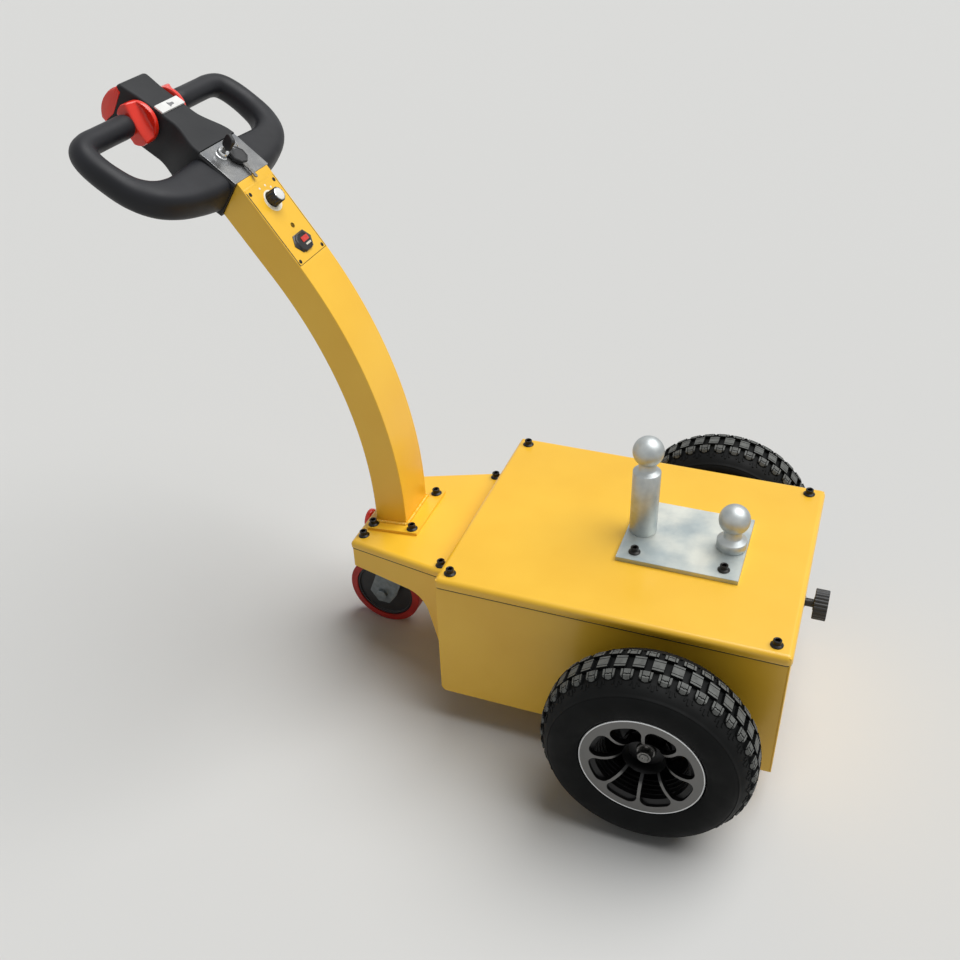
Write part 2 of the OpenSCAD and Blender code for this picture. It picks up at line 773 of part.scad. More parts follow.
// Half section of a tyre.
// Columns: distance from the middle plane, radius of the carcass
tyre_rows = [
    [0, 157],
    [15, 156.5],
    [27, 154.8],
    [36, 152.3],
    [43.5, 148.2],
    [50, 142.3],
    [55, 136],
    [58.3, 126],
    [59, 114],
    [56.5, 104],
    [50, 97]];

// The rim's flanges slope from the bead seat out to the ring
flange_in = ring_z - 9.5;
flange_out = ring_z - 4.5;

// One side of the tyre's outline, from the crown to the bead
function tyre_side(side) = concat(
    [for (row = tyre_rows) [row[1] * tyre_r / 163.5, side * row[0] * tyre_w / 118]],
    [[rim_r + fit, side * (flange_out - fit)], [bead_r + fit, side * (flange_in - fit)]]);
function reversed(list) = [for (i = [len(list) - 1 : -1 : 0]) list[i]];

// Lugs of one pitch of the tread.
// Columns: inner and outer distance from the middle plane, length round the tyre, turn in pitches,
// drop of the top at the inner edge, at the start of the bevel and at the outer edge
pitch_count = 37;
lug_rows = [
    [-11, 11, 17.7, 0, 0.3, 0.3, 0.3],
    [15.5, 31.5, 21, 0.5, 0.7, 3.6, 9],
    [-15.5, -31.5, 21, 0.5, 0.7, 3.6, 9]];

module lug(row) {
    side = sign(row[1]);
    bevel = row[1] - side * 4;
    rotate([0, 0, row[3] * 360 / pitch_count]) translate([0, row[2] / 2, 0]) rotate([90, 0, 0])
        linear_extrude(row[2]) polygon([[tyre_r - 14, row[0]], [tyre_r - row[4], row[0]],
            [tyre_r - row[5], bevel], [tyre_r - row[6], row[1]], [tyre_r - 14, row[1]]]);
}

// The wheel's parts stand on the tyre's middle plane, with Z outwards
module at_wheel() { translate([0, track_half, tyre_r]) rotate([-90, 0, 0]) children(); }

// The turn sets where the tread stands, in pitches
module tyre(turn) {
    color(black) at_wheel() {
        rotate_extrude($fn = 96) polygon(concat(tyre_side(1), reversed(tyre_side(-1))));
        for (i = [0 : pitch_count - 1], row = lug_rows) rotate([0, 0, (i + turn) * 360 / pitch_count])
            lug(row);
    }
}
module tyre_left() { placed() tyre(0.7); }
module tyre_right() { placed() mirror([0, 1, 0]) tyre(0.96); }

ring_in = rim_r - 14;
barrel_r = bead_r - 12;
// Steps inside the barrel's mouth
rib_count = 4;
rib_step = 2;
rib_w = 7;
dish_r = 38;
dish_t = 8;
spoke_w = 5;
window_r = 12;
window_in = 33;

// The rim's barrel with its ring, flanges and the steps inside its mouth
module rim_barrel() {
    rotate_extrude($fn = 96) polygon(concat(
        [[ring_in, ring_z], [rim_r, ring_z], [rim_r, flange_out], [bead_r, flange_in],
            [bead_r, -flange_in], [rim_r, -flange_out], [rim_r, -ring_z], [rim_r - 5, -ring_z],
            [barrel_r, -ring_z + 10]],
        [for (i = [0 : rib_count - 1], k = [0, 1])
            [barrel_r + (i + k) * rib_step, flange_in - (rib_count - i) * rib_w]],
        [[barrel_r + rib_count * rib_step, flange_in + 1], [ring_in, flange_in + 4]]));
}

// Section of the dish that the spokes are cut from: flat at the ring, round towards the hub
module dish_section() {
    intersection() {
        translate([ring_in - dish_r - dish_r / 3, ring_z - dish_r]) square(dish_r);
        translate([ring_in - dish_r / 3, ring_z - dish_r]) difference() {
            circle(dish_r);
            circle(dish_r - dish_t);
        }
    }
    translate([ring_in - dish_r / 3, ring_z - dish_t]) square([dish_r / 3 + 0.5, dish_t]);
}

module ring_2d(r1, r2) {
    difference() {
        circle(r2);
        circle(r1);
    }
}

// One window between two spokes, with round outer corners
module rim_window() {
    half = 180 / spoke_count;
    edge = spoke_w / 2;
    reach = 2 * ring_in;
    along = sqrt(pow(ring_in - window_r, 2) - pow(edge + window_r, 2));
    inner = half - asin((edge + window_r) / (ring_in - window_r));
    apex = edge / sin(half);
    intersection() {
        ring_2d(window_in, norm([along, edge]));
        polygon([[apex, 0], [apex + reach * cos(half), reach * sin(half)],
            [apex + reach * cos(half), -reach * sin(half)]]);
    }
    intersection() {
        ring_2d(window_in, ring_in);
        polygon([[0, 0], [reach * cos(inner), reach * sin(inner)], [reach * cos(inner), -reach * sin(inner)]]);
    }
    for (side = [-1, 1]) rotate(side * half) translate([along, -side * (edge + window_r)]) circle(window_r);
}

module rim() {
    color("#8a8d90") at_wheel() {
        rim_barrel();
        difference() {
            rotate_extrude($fn = 96) dish_section();
            for (i = [0 : spoke_count - 1]) rotate([0, 0, (i + 0.5) * 360 / spoke_count])
                translate([0, 0, ring_z - dish_r - 1]) linear_extrude(dish_r + 2) rim_window();
        }
        // the collar that the hub carries
        translate([0, 0, ring_z - dish_r - dish_t]) difference() {
            cylinder(r = ring_in - dish_r / 3 - dish_r + dish_t, h = dish_t);
            translate([0, 0, -1]) cylinder(r = nut_r + 4, h = dish_t + 2);
        }
    }
}
module rim_left() { placed() rim(); }
module rim_right() { placed() mirror([0, 1, 0]) rim(); }

nut_r = 11;
module hub() {
    seat = ring_z - dish_r - dish_t;
    color("#2a2c2e") at_wheel() {
        translate([0, 0, motor_size[1] / 2 + 5 - track_half])
            cylinder(r = shaft_r, h = track_half - motor_size[1] / 2 - 5 + seat);
        translate([0, 0, tube_end + 4 - track_half]) cylinder(r = hub_r, h = track_half - tube_end - 4 + seat);
        cylinder(r = nut_r + 3, h = seat + dish_t + 4);
        cylinder(r = nut_r, h = seat + dish_t + 16, $fn = 6);
    }
}
module hub_left() { placed() hub(); }
module hub_right() { placed() mirror([0, 1, 0]) hub(); }

side_plate_left();
side_plate_right();
tow_end_plate();
handle_end_wall();
floor_pan();
top_lid();
step_side_left();
step_side_right();
step_end_plate();
step_deck();
step_floor();
stop_button();
battery_block();
drive_motor();
axle_tubes();
tow_plate();
tall_tow_ball();
short_tow_ball();
release_knob();
arm_foot_plate();
tiller_arm();
arm_panel();
speed_knob();
battery_meter();
head_housing();
key_plate();
key_switch();
horn_button();
belly_paddle();
thumb_wheel_left();
thumb_wheel_right();
grip_left();
grip_right();
caster_top_plate();
caster_fork();
caster_axle_bolt();
caster_core();
caster_tread();
tyre_left();
rim_left();
hub_left();
tyre_right();
rim_right();
hub_right();
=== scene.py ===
import random
from math import asin, atan, atan2, copysign, cos, hypot, pi, radians, sin, sqrt, tan

import bmesh
import bpy
from mathutils import Matrix, Vector
from mathutils.bvhtree import BVHTree


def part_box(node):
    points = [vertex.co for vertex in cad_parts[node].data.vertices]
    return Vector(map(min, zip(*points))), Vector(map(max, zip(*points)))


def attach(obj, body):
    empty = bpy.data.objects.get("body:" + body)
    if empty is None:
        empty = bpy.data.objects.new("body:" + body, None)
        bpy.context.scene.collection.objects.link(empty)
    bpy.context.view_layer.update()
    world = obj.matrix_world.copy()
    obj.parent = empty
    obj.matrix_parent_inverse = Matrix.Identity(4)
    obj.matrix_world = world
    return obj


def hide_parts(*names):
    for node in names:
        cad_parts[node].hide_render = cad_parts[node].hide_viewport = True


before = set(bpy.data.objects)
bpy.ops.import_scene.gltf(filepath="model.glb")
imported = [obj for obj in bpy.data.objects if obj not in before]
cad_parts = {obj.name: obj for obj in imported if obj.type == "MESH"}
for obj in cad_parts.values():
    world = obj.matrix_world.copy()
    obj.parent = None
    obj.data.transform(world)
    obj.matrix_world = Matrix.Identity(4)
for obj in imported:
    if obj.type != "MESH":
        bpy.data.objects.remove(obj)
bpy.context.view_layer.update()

# ------ Camera
# A person's eye height, a step away from the near drive wheel, looking down on the tug.
# The lens is that of a phone: about 41 mm on a 36 mm wide sensor.
scene = bpy.context.scene
eye = (0.559966, -1.418860, 1.417166)
eye_right = Vector((0.93683849, 0.34868239, -0.02746326))
eye_up = Vector((-0.17764409, 0.54198897, 0.82139548))
camera_data = bpy.data.cameras.new("camera")
camera_data.sensor_width = 36
camera_data.lens = 40.922
camera_data.clip_end = 60
camera = bpy.data.objects.new("camera", camera_data)
turn = Matrix((eye_right, eye_up, eye_right.cross(eye_up))).transposed()
camera.matrix_world = Matrix.Translation(eye) @ turn.to_4x4()
scene.collection.objects.link(camera)
scene.camera = camera

# ------ Studio floor and light
# A plain pale floor of painted plaster, matt, under one wide soft lamp that stands for a bright
# overcast sky. The room round it is pale; metal and gloss see it at full brightness.
scene.view_settings.view_transform = "Standard"


def linear(hex_colour):
    """sRGB hex to a linear colour with alpha."""
    parts = [int(hex_colour[i:i + 2], 16) / 255 for i in (1, 3, 5)]
    return tuple(c / 12.92 if c <= 0.04045 else ((c + 0.055) / 1.055) ** 2.4 for c in parts) + (1.0,)


def new_material(name, **settings):
    """A material with its shader's own values set; returns the material, its node tree and the shader."""
    material = bpy.data.materials.new(name)
    material.use_nodes = True
    tree = material.node_tree
    shader = tree.nodes["Principled BSDF"]
    for key, value in settings.items():
        shader.inputs[key.replace("_", " ").title().replace("Ior", "IOR")].default_value = value
    return material, tree, shader


def add(tree, kind, inputs=(), **settings):
    """Adds a node with its settings; an input is a plain value or another node's output."""
    made = tree.nodes.new(kind)
    for name, value in settings.items():
        setattr(made, name, value)
    for name, value in dict(inputs).items():
        if isinstance(value, bpy.types.NodeSocket):
            tree.links.new(value, made.inputs[name])
        else:
            made.inputs[name].default_value = value
    return made


def calc(tree, operation, *values):
    """The result of a math node."""
    return add(tree, "ShaderNodeMath", enumerate(values), operation=operation).outputs[0]


# matt plaster: one even pale grey
floor_plaster = new_material("painted_plaster", roughness=0.9, base_color=linear("#d4d4d2"))[0]
floor_x, floor_front, floor_back, floor_drop = 25, -15, 40, 0.0005
ground = bpy.data.meshes.new("floor")
ground.from_pydata([(-floor_x, floor_front, 0), (floor_x, floor_front, 0), (floor_x, floor_back, 0),
    (-floor_x, floor_back, 0)], [], [(0, 1, 2, 3)])
ground.materials.append(floor_plaster)
floor = bpy.data.objects.new("floor", ground)
floor.location.z = -floor_drop
scene.collection.objects.link(floor)

room_light, room_seen = 0.17, 0.86  # how bright the room lights the tug, and how bright it is seen
world = bpy.data.worlds.new("studio")
scene.world = world
world.use_nodes = True
room = world.node_tree
backdrop = room.nodes["Background"]
backdrop.inputs["Color"].default_value = linear("#eff0f0")
ray = add(room, "ShaderNodeLightPath")
seen = calc(room, "MAXIMUM", ray.outputs["Is Camera Ray"], ray.outputs["Is Glossy Ray"])
seen = calc(room, "MAXIMUM", seen, ray.outputs["Is Transmission Ray"])
level = add(room, "ShaderNodeMapRange", {"Value": seen, "To Min": room_light, "To Max": room_seen})
room.links.new(level.outputs["Result"], backdrop.inputs["Strength"])

lamp_place, lamp_aim, lamp_spread, lamp_energy = (1.4, 0.85, 3.5), (0.1, 0.0, 0.3), radians(56), 3.1
lamp_data = bpy.data.lights.new("lamp_overhead", "SUN")
lamp_data.angle = lamp_spread
lamp_data.energy = lamp_energy
lamp = bpy.data.objects.new("lamp_overhead", lamp_data)
lamp.location = lamp_place
lamp.rotation_euler = (Vector(lamp_aim) - lamp.location).to_track_quat("-Z", "Y").to_euler()
scene.collection.objects.link(lamp)

# ------ Painted steel sheets
# Box, lid, step, arm and panel: folded and welded steel sheet, powder coated a warm yellow.
# The coat has a faint orange peel, an uneven gloss, and rounds every cut edge a little.
mm = 0.001


def speckle(tree, place, size_mm, detail):
    """The value of a noise of a size in millimetres."""
    return add(tree, "ShaderNodeTexNoise",
        {"Vector": place.outputs["Object"], "Scale": 1 / (size_mm * mm), "Detail": detail}).outputs["Fac"]


def grain(tree, shader, size_mm, height_mm, detail=2.0):
    """A fine raised grain all over a surface, its size and height in millimetres."""
    place = add(tree, "ShaderNodeTexCoord")
    bump = add(tree, "ShaderNodeBump",
        {"Height": speckle(tree, place, size_mm, detail), "Distance": height_mm * mm, "Strength": 1.0})
    tree.links.new(bump.outputs["Normal"], shader.inputs["Normal"])
    return place


def paint(tree, shader, value, low, high, dark, light):
    """A base colour that goes from dark to light as a value goes from low to high."""
    ramp = add(tree, "ShaderNodeValToRGB", {"Fac": value})
    for element, position, tone in zip(ramp.color_ramp.elements, (low, high), (dark, light)):
        element.position, element.color = position, linear(tone)
    tree.links.new(ramp.outputs["Color"], shader.inputs["Base Color"])


def tones(tree, shader, place, size_mm, dark, light, low=0.3, high=0.7, detail=3.0):
    """A colour that drifts between two tones over a size in millimetres."""
    paint(tree, shader, speckle(tree, place, size_mm, detail), low, high, dark, light)


def gloss(tree, shader, place, size_mm, low, high):
    """A roughness that drifts between two values over a size in millimetres."""
    spread = add(tree, "ShaderNodeMapRange", {"Value": speckle(tree, place, size_mm, 4.0),
        "From Min": 0.3, "From Max": 0.7, "To Min": low, "To Max": high})
    tree.links.new(spread.outputs["Result"], shader.inputs["Roughness"])


def surface(name, raised, colours, rough=None, **settings):
    """A material with a raised grain, two tones and perhaps an uneven gloss, each with its size first."""
    material, tree, shader = new_material(name, **settings)
    place = grain(tree, shader, *raised)
    tones(tree, shader, place, *colours)
    if rough:
        gloss(tree, shader, place, *rough)
    return material


def dress(material, *names, edge=0.0):
    """Gives CAD nodes a finish and, where edge is set, breaks their sharp edges by that many mm."""
    for name in names:
        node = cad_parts[name]
        node.data.materials.clear()
        node.data.materials.append(material)
        if edge:
            weld = node.modifiers.new("weld", "WELD")
            weld.merge_threshold = 0.00001
            broken = node.modifiers.new("broken_edge", "BEVEL")
            broken.width = edge * mm
            broken.segments = 2
            broken.limit_method = "ANGLE"
            broken.angle_limit = radians(38)
            node.modifiers.new("shading", "WEIGHTED_NORMAL")


# powder coat: a warm yellow, half gloss, with an orange peel of about 1.6 mm that softens reflections
yellow_coat = surface("yellow_powder_coat", (1.6, 0.006), (130, "#f7c02e", "#fcc838"), (60, 0.3, 0.4),
    coat_weight=0.2, coat_roughness=0.2)
dress(yellow_coat, "side_plate_left", "side_plate_right", "tow_end_plate", "handle_end_wall", "floor_pan",
    "step_side_left", "step_side_right", "step_end_plate", "step_floor", edge=0.7)
dress(yellow_coat, "arm_foot_plate", "arm_panel", edge=0.5)
dress(yellow_coat, "tiller_arm", edge=2.0)

# ------ Screws
# Flanged socket screws in black oxide steel, which hold the lid, deck, arm foot and tow plate.
# Cold headed: a wide flange that slopes up to a round head with a deep hexagon socket.


def shaped(name, points, faces, material, slot, sharp=35, body="chassis", second=None, seconds=()):
    """A mesh piece from points in metres in the tug's frame, smooth up to an angle, that rides on a body.
    The faces numbered in seconds have the second material."""
    mesh = bpy.data.meshes.new(name)
    mesh.from_pydata([tuple(p) for p in points], [], faces)
    mesh.materials.append(material)
    if second:
        mesh.materials.append(second)
    for k in seconds:
        mesh.polygons[k].material_index = 1
    bm = bmesh.new()
    bm.from_mesh(mesh)
    bmesh.ops.recalc_face_normals(bm, faces=bm.faces)
    bm.to_mesh(mesh)
    bm.free()
    mesh.shade_smooth()
    mesh.set_sharp_from_angle(angle=radians(sharp))
    made = bpy.data.objects.new(name, mesh)
    scene.collection.objects.link(made)
    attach(made, body)
    return made


def loft(rings, closed=False):
    """Points and faces that join rings of equal count, capped at both ends or joined end to end."""
    count = len(rings[0])
    points = [p for ring in rings for p in ring]
    last = len(rings) if closed else len(rings) - 1
    faces = [(k * count + i, k * count + (i + 1) % count, (k + 1) % len(rings) * count + (i + 1) % count,
        (k + 1) % len(rings) * count + i) for k in range(last) for i in range(count)]
    if not closed:
        faces += [tuple(range(count - 1, -1, -1)), tuple(len(points) - count + i for i in range(count))]
    return points, faces


def turned(profile, around=24, hexagon=(), flutes=0, depth=0.0, fluted=()):
    """A turned shape about Z. The profile lists radius and height in mm; rings whose numbers are in
    hexagon are six-sided, and those in fluted have that many flutes, depth mm deep."""
    rings = []
    for k, (radius, height) in enumerate(profile):
        ring = []
        for i in range(around):
            angle = 2 * pi * i / around
            r = radius
            if k in hexagon:
                r = radius / cos(angle % (pi / 3) - pi / 6) * cos(pi / 6)
            if k in fluted:
                r -= depth * (0.5 + 0.5 * cos(flutes * angle)) ** 2
            ring.append(Vector((r * cos(angle), r * sin(angle), height)) * mm)
        rings.append(ring)
    return loft(rings)


def join(parts):
    """One list of points and faces from several, each given with the matrix that places it."""
    points, faces = [], []
    for (part_points, part_faces), matrix in parts:
        first = len(points)
        points += [matrix @ p for p in part_points]
        faces += [tuple(first + i for i in face) for face in part_faces]
    return points, faces


def facing(origin, normal, spin=0.0):
    """A frame at a point in metres whose Z is the normal."""
    rotation = Vector(normal).to_track_quat("Z", "Y").to_matrix().to_4x4()
    return Matrix.Translation(origin) @ rotation @ Matrix.Rotation(spin, 4, "Z")


# black oxide: nearly black steel with a faint brown, an oily half gloss
black_oxide_steel = surface("black_oxide_steel", (0.8, 0.01), (5, "#121110", "#211f1d"), (3, 0.28, 0.42),
    metallic=0.5)

axle = (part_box("hub_right")[0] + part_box("hub_right")[1]) / 2


def from_axle(x, y, z):
    """A point given in mm from the drive axle's middle on the floor, in metres in the tug's frame."""
    return Vector((axle.x + x * mm, y * mm, z * mm))


def seat(node, x, y):
    """The top of a CAD node at a place in mm from the axle, and the face's normal there."""
    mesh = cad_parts[node].data
    solid = BVHTree.FromPolygons([v.co for v in mesh.vertices], [tuple(p.vertices) for p in mesh.polygons])
    return solid.ray_cast(from_axle(x, y, 900), Vector((0, 0, -1)))[:2]


head_r, head_h, flange_r = 6.6, 10.0, 9.8
screw = turned([(flange_r - 0.5, -0.1), (flange_r, 0.3), (flange_r, 1.0), (head_r + 1.6, 2.4), (head_r, 3.4),
    (head_r, head_h - 0.7), (head_r - 0.7, head_h), (4.9, head_h), (4.4, head_h - 0.6), (4.4, head_h - 5.5),
    (1.0, head_h - 6.5)], hexagon=(8, 9))

random.seed(4)
tow_top = 323
for name, node, places in (
    ("lid_screws", "top_lid", [(-353, 197), (-353, -197), (154, 197), (154, -197)]),
    ("deck_screws", "step_deck", [(-562, 84), (-562, -84), (-395, 135), (-395, -135)]),
    ("foot_screws", "arm_foot_plate", [(-482, 55.7), (-482, -55.7), (-556, 55.7), (-556, -55.7)]),
    ("tow_plate_screws", "tow_plate", [(-89, 62), (-89, -62), (53, 62), (53, -62)]),
):
    parts = []
    for x, y in places:
        # the tow plate is bored under its screws, so their seat is its top plane
        spot, normal = (from_axle(x, y, tow_top), (0, 0, 1)) if node == "tow_plate" else seat(node, x, y)
        parts.append((screw, facing(spot, normal, random.uniform(0, 1))))
    shaped(name, *join(parts), black_oxide_steel, "dark_steel")

# ------ Lid and deck
# Steel sheets folded down all round, with round bends and rounded corners, powder coated like the box.
# Under each lip a dark strip is painted shade: it stands for the shadow in the gap between the lip and the side
# plates.
box_end, deck_top, deck_slope = -371, 275.5, radians(5.4)
sheet, lid_lip, lid_bend, lid_corner = 2, 16, 8.6, 9
# The deck's half widths where it meets the box and at its far end, and how fast it narrows
deck_wide, deck_narrow, deck_taper, deck_long = 158.61, 105.48, 0.2537, 209.44
deck_lip, deck_bend, deck_corner, square_corner = 13, 8.0, 6, 0.3


def inset_outline(corners, inset, rounding):
    """A convex outline in mm, counterclockwise, moved inwards, each corner with its own rounding."""
    out, steps = [], 5
    for i, corner in enumerate(corners):
        here, before, after = Vector(corner), Vector(corners[i - 1]), Vector(corners[(i + 1) % len(corners)])
        along, onward = (here - before).normalized(), (after - here).normalized()
        first, second = Vector((along.y, -along.x)), Vector((onward.y, -onward.x))
        r = max(rounding[i] - inset, square_corner)
        middle = here - (first + second) / (1 + first.dot(second)) * (inset + r)
        start = atan2(first.y, first.x)
        sweep = (atan2(second.y, second.x) - start) % (2 * pi)
        for k in range(steps + 1):
            angle = start + sweep * k / steps
            out.append((middle.x + r * cos(angle), middle.y + r * sin(angle)))
    return out


def folded_profile(lip, bend):
    """Inset and height of a folded edge, from the sheet's underside round its lip to its top."""
    arc = [radians(a) for a in range(0, 91, 9)]
    inner = bend - sheet
    return [(sheet + inner * (1 - cos(a)), lip - bend + inner * sin(a)) for a in reversed(arc)] + [
        (sheet, 0), (0.4, 0), (0, 0.4)] + [(bend - bend * cos(a), lip - bend + bend * sin(a)) for a in arc]


low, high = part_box("top_lid")
x0, x1, half = (low.x - axle.x) / mm, (high.x - axle.x) / mm, high.y / mm
lid_corners = [(x0, -half), (x1, -half), (x1, half), (x0, half)]


def lid_ring(inset, height):
    """One ring of the lid, its height in mm from the lip's edge."""
    return [from_axle(x, y, low.z / mm + height) for x, y in inset_outline(lid_corners, inset, [lid_corner] * 4)]


made = shaped("lid_folded", *loft([lid_ring(*p) for p in folded_profile(lid_lip, lid_bend)]),
    yellow_coat, "yellow_paint", 50)
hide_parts("top_lid")


def deck_ring(inset, height):
    """One ring of the deck, which slopes down from the box and ends square on it."""
    h = height - deck_lip
    start = -h * tan(deck_slope) - inset
    wide = deck_wide - deck_taper * start
    outline = inset_outline([(start, -wide), (deck_long, -deck_narrow), (deck_long, deck_narrow), (start, wide)],
        inset, [square_corner, deck_corner, deck_corner, square_corner])
    return [from_axle(box_end - a * cos(deck_slope) - h * sin(deck_slope), y,
        deck_top - a * sin(deck_slope) + h * cos(deck_slope)) for a, y in outline]


made = shaped("deck_folded", *loft([deck_ring(*p) for p in folded_profile(deck_lip, deck_bend)]),
    yellow_coat, "yellow_paint", 50)
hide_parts("step_deck")
# painted shade for the gaps, where little light comes: a nearly black brown
shadow_gap = surface("shadow_gap_paint", (1.0, 0.01), (8, "#1c1604", "#2a2208"), roughness=0.7)
# each strip hangs just under a lip as painted shadow
for name, ring in (("lid_gap", lid_ring), ("deck_gap", deck_ring)):
    gap = [ring(inset, height) for inset, height in ((0.9, -2.2), (0.9, 0.1), (2.4, 0.1), (2.4, -2.2))]
    shaped(name, *loft(gap, closed=True), shadow_gap, "dark_steel")

# ------ Corner fold under the box
# The bend that joins the floor pan to the wall at the handle end: one steel sheet between the side
# plates, with the radius of their corners, powder coated like them.
fold_x, fold_z, fold_half, fold_r, fold_sheet = -361, 82, 213.8, 10, 3


def on_circle(x, y, r, degrees):
    """A point on a circle about x, y."""
    angle = radians(degrees)
    return x + r * cos(angle), y + r * sin(angle)


fold = [on_circle(fold_x, fold_z, fold_r, a) for a in range(180, 271, 10)] + [
    on_circle(fold_x, fold_z, fold_r - fold_sheet, a) for a in range(270, 179, -10)]
shaped("box_corner_fold", *loft([[from_axle(x, y, z) for x, z in fold] for y in (-fold_half, fold_half)]),
    yellow_coat, "yellow_paint")

# ------ Tow plate
# A sawn steel plate, zinc plated and passivated: whitish grey with soft cloudy patches. Four screws
# hold it on the lid, under the two tow balls.
zinc_plated_steel = surface("zinc_plated_steel", (3.0, 0.004, 4.0), (70, "#a2abac", "#d0d1c8", 0.35, 0.65, 5.0),
    (25, 0.44, 0.58), metallic=0.8)
plate_corner, plate_edge = 1.2, 0.6


def slab(outline, profile):
    """A slab from an outline of (x, y) in mm about its middle: the profile lists inset and height in mm."""
    reach = max(hypot(x, y) for x, y in outline)
    return loft([[Vector((x * (1 - inset / reach), y * (1 - inset / reach), height)) * mm for x, y in outline]
        for inset, height in profile])


def rounded(length, width, corner, steps=5):
    """The outline of a rectangle with round corners, length along x."""
    return [on_circle(sx * (length / 2 - corner), sy * (width / 2 - corner), corner, a0 + 90 * i / steps)
        for sx, sy, a0 in ((1, 1, 0), (-1, 1, 90), (-1, -1, 180), (1, -1, 270)) for i in range(steps + 1)]


low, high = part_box("tow_plate")
length, width, thick = ((high[i] - low[i]) / mm for i in range(3))
plate = slab(rounded(length, width, plate_corner),
    [(plate_edge, 0), (0, plate_edge), (0, thick - plate_edge), (plate_edge, thick)])
middle = Vector(((low.x + high.x) / 2, 0, low.z))
made = shaped("tow_plate_sawn", *join([(plate, Matrix.Translation(middle))]),
    zinc_plated_steel, "zinc_plate", 30)
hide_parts("tow_plate")

# ------ Tow balls
# Turned from bar and zinc plated, then screwed up from below the plate. The post is satin with fine
# marks round it; a broken edge at the top, a neck, and the ball, whose skin is a little cloudy.
turned_zinc_steel, tree, shader = new_material("turned_zinc_steel", metallic=0.92)
place = add(tree, "ShaderNodeTexCoord")
# turning marks 0.7 mm apart, a little coarser than the real ones so that they show
squeeze = add(tree, "ShaderNodeMapping", {"Vector": place.outputs["Object"], "Scale": (20, 20, 1400)})
marks = add(tree, "ShaderNodeTexNoise", {"Vector": squeeze.outputs["Vector"], "Scale": 1.0, "Detail": 2.0})
bump = add(tree, "ShaderNodeBump", {"Height": marks.outputs["Fac"], "Distance": 0.006 * mm, "Strength": 1.0})
tree.links.new(bump.outputs["Normal"], shader.inputs["Normal"])
tones(tree, shader, place, 14, "#a9aeaf", "#bcc0bf", 0.3, 0.7, 5.0)
gloss(tree, shader, place, 14, 0.44, 0.52)

ball_r, neck_r = 25, 14
# The post's place, radius and height, and the height of the ball's middle
for name, x, post_r, post_h, ball_h in (("tall_tow_ball", -90, 22.5, 120, 153), ("short_tow_ball", 54, 24, 20, 54)):
    slope = post_h - (post_r - neck_r) * 0.5
    outline = [(post_r - 0.6, 0), (post_r, 0.8), (post_r, slope - 0.6), (post_r - 0.8, slope + 0.2),
        (neck_r + 1.4, post_h - 0.2), (neck_r, post_h + 1.4)]
    start = -pi / 2 + asin(neck_r / ball_r)
    for k in range(33):
        angle = start + k * (pi / 2 - 0.1 - start) / 32
        outline.append((ball_r * cos(angle), ball_h + ball_r * sin(angle)))
    outline.append((0.8, ball_h + ball_r))
    made = shaped(name + "_turned", *join([(turned(outline, 64), Matrix.Translation(from_axle(x, 0, tow_top)))]),
        turned_zinc_steel, "zinc_plate", 50)
    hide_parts(name)

# ------ Release knob
# A round knob moulded in black phenolic, with fine flutes all round, on a thin blackened stem.
# The phenolic is black, with a half gloss that handling has made uneven.
phenolic = surface("black_phenolic", (1.2, 0.01), (12, "#19191b", "#232426"), (8, 0.32, 0.46))
knob_x, knob_z = 178, 242

knob = turned([(24, 16), (25, 16.8), (25, 37.2), (24, 37.9), (17, 37.9), (16.4, 37.2), (3, 37.2)], 96,
    flutes=24, depth=1.6, fluted=(0, 1, 2, 3))
stem = turned([(9.5, 0), (9.5, 2.5), (6.8, 3), (6.8, 15), (11, 15.3), (11, 16.5)])
sideways = facing(from_axle(knob_x, 0, knob_z), (1, 0, 0))
made = shaped("release_knob_fluted", *join([(knob, sideways), (stem, sideways)]),
    phenolic, "black_plastic")
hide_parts("release_knob")

# ------ Emergency stop
# A mushroom button moulded in red ABS, on a black collar with a yellow ring, at the step's end.
# The red is even and strong, with small sharp highlights; the yellow ring is duller.
red_abs = surface("red_abs", (1.0, 0.003), (40, "#ee2810", "#f83219"),
    roughness=0.26, coat_weight=0.3, coat_roughness=0.12)
yellow_abs = surface("yellow_abs", (1.0, 0.004), (12, "#eec61a", "#f5d021"), roughness=0.35)
stop_z = 226

backward = facing(Vector((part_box("step_end_plate")[0].x, 0, stop_z * mm)), (-1, 0, 0))
shaped("stop_ring", *join([(turned([(15.4, 0), (16, 0.4), (16, 1.6), (15.4, 2), (11, 2)], 48), backward)]),
    yellow_abs, "yellow_paint")
shaped("stop_collar", *join([(turned([(11, 1.9), (11, 9), (12.5, 10.4)], 32), backward)]),
    phenolic, "black_plastic")
mushroom = turned([(12, 10), (17.6, 10.2), (19.3, 11), (20, 12.6), (20, 16.5), (19.3, 18.6), (17.5, 20), (14, 20.7),
    (8, 21), (2, 21)], 64)
made = shaped("stop_head", *join([(mushroom, backward)]), red_abs, "red_plastic")
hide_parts("stop_button")

# ------ Arm weld and the panel gap's painted shade
# The arm's foot is welded to its plate all round, under the paint: a bead of ripples 3 mm apart.
# The panel lies in a pocket; a thin dark strip round it is painted shade for the gap.
foot_x, foot_y, bead_step, bead_r, ripple_long, ripple_deep = -482, 55.7, 0.8, 3.2, 3.0, 0.5
weld_box = (-557.5, -496, 46.5, 2)  # both ends, half width and corner


def tube(path, radii, sides=10):
    """A closed tube along points in metres, with its radius in mm at each."""
    rings = []
    for k, p in enumerate(path):
        along = (path[(k + 1) % len(path)] - path[k - 1]).normalized()
        side = along.cross(Vector((0, 0, 1)) if abs(along.z) < 0.9 else Vector((0, 1, 0))).normalized()
        up = side.cross(along)
        turns = (on_circle(0, 0, 1, 360 * i / sides) for i in range(sides))
        rings.append([p + (side * c + up * s) * (radii[k] * mm) for c, s in turns])
    return loft(rings, closed=True)


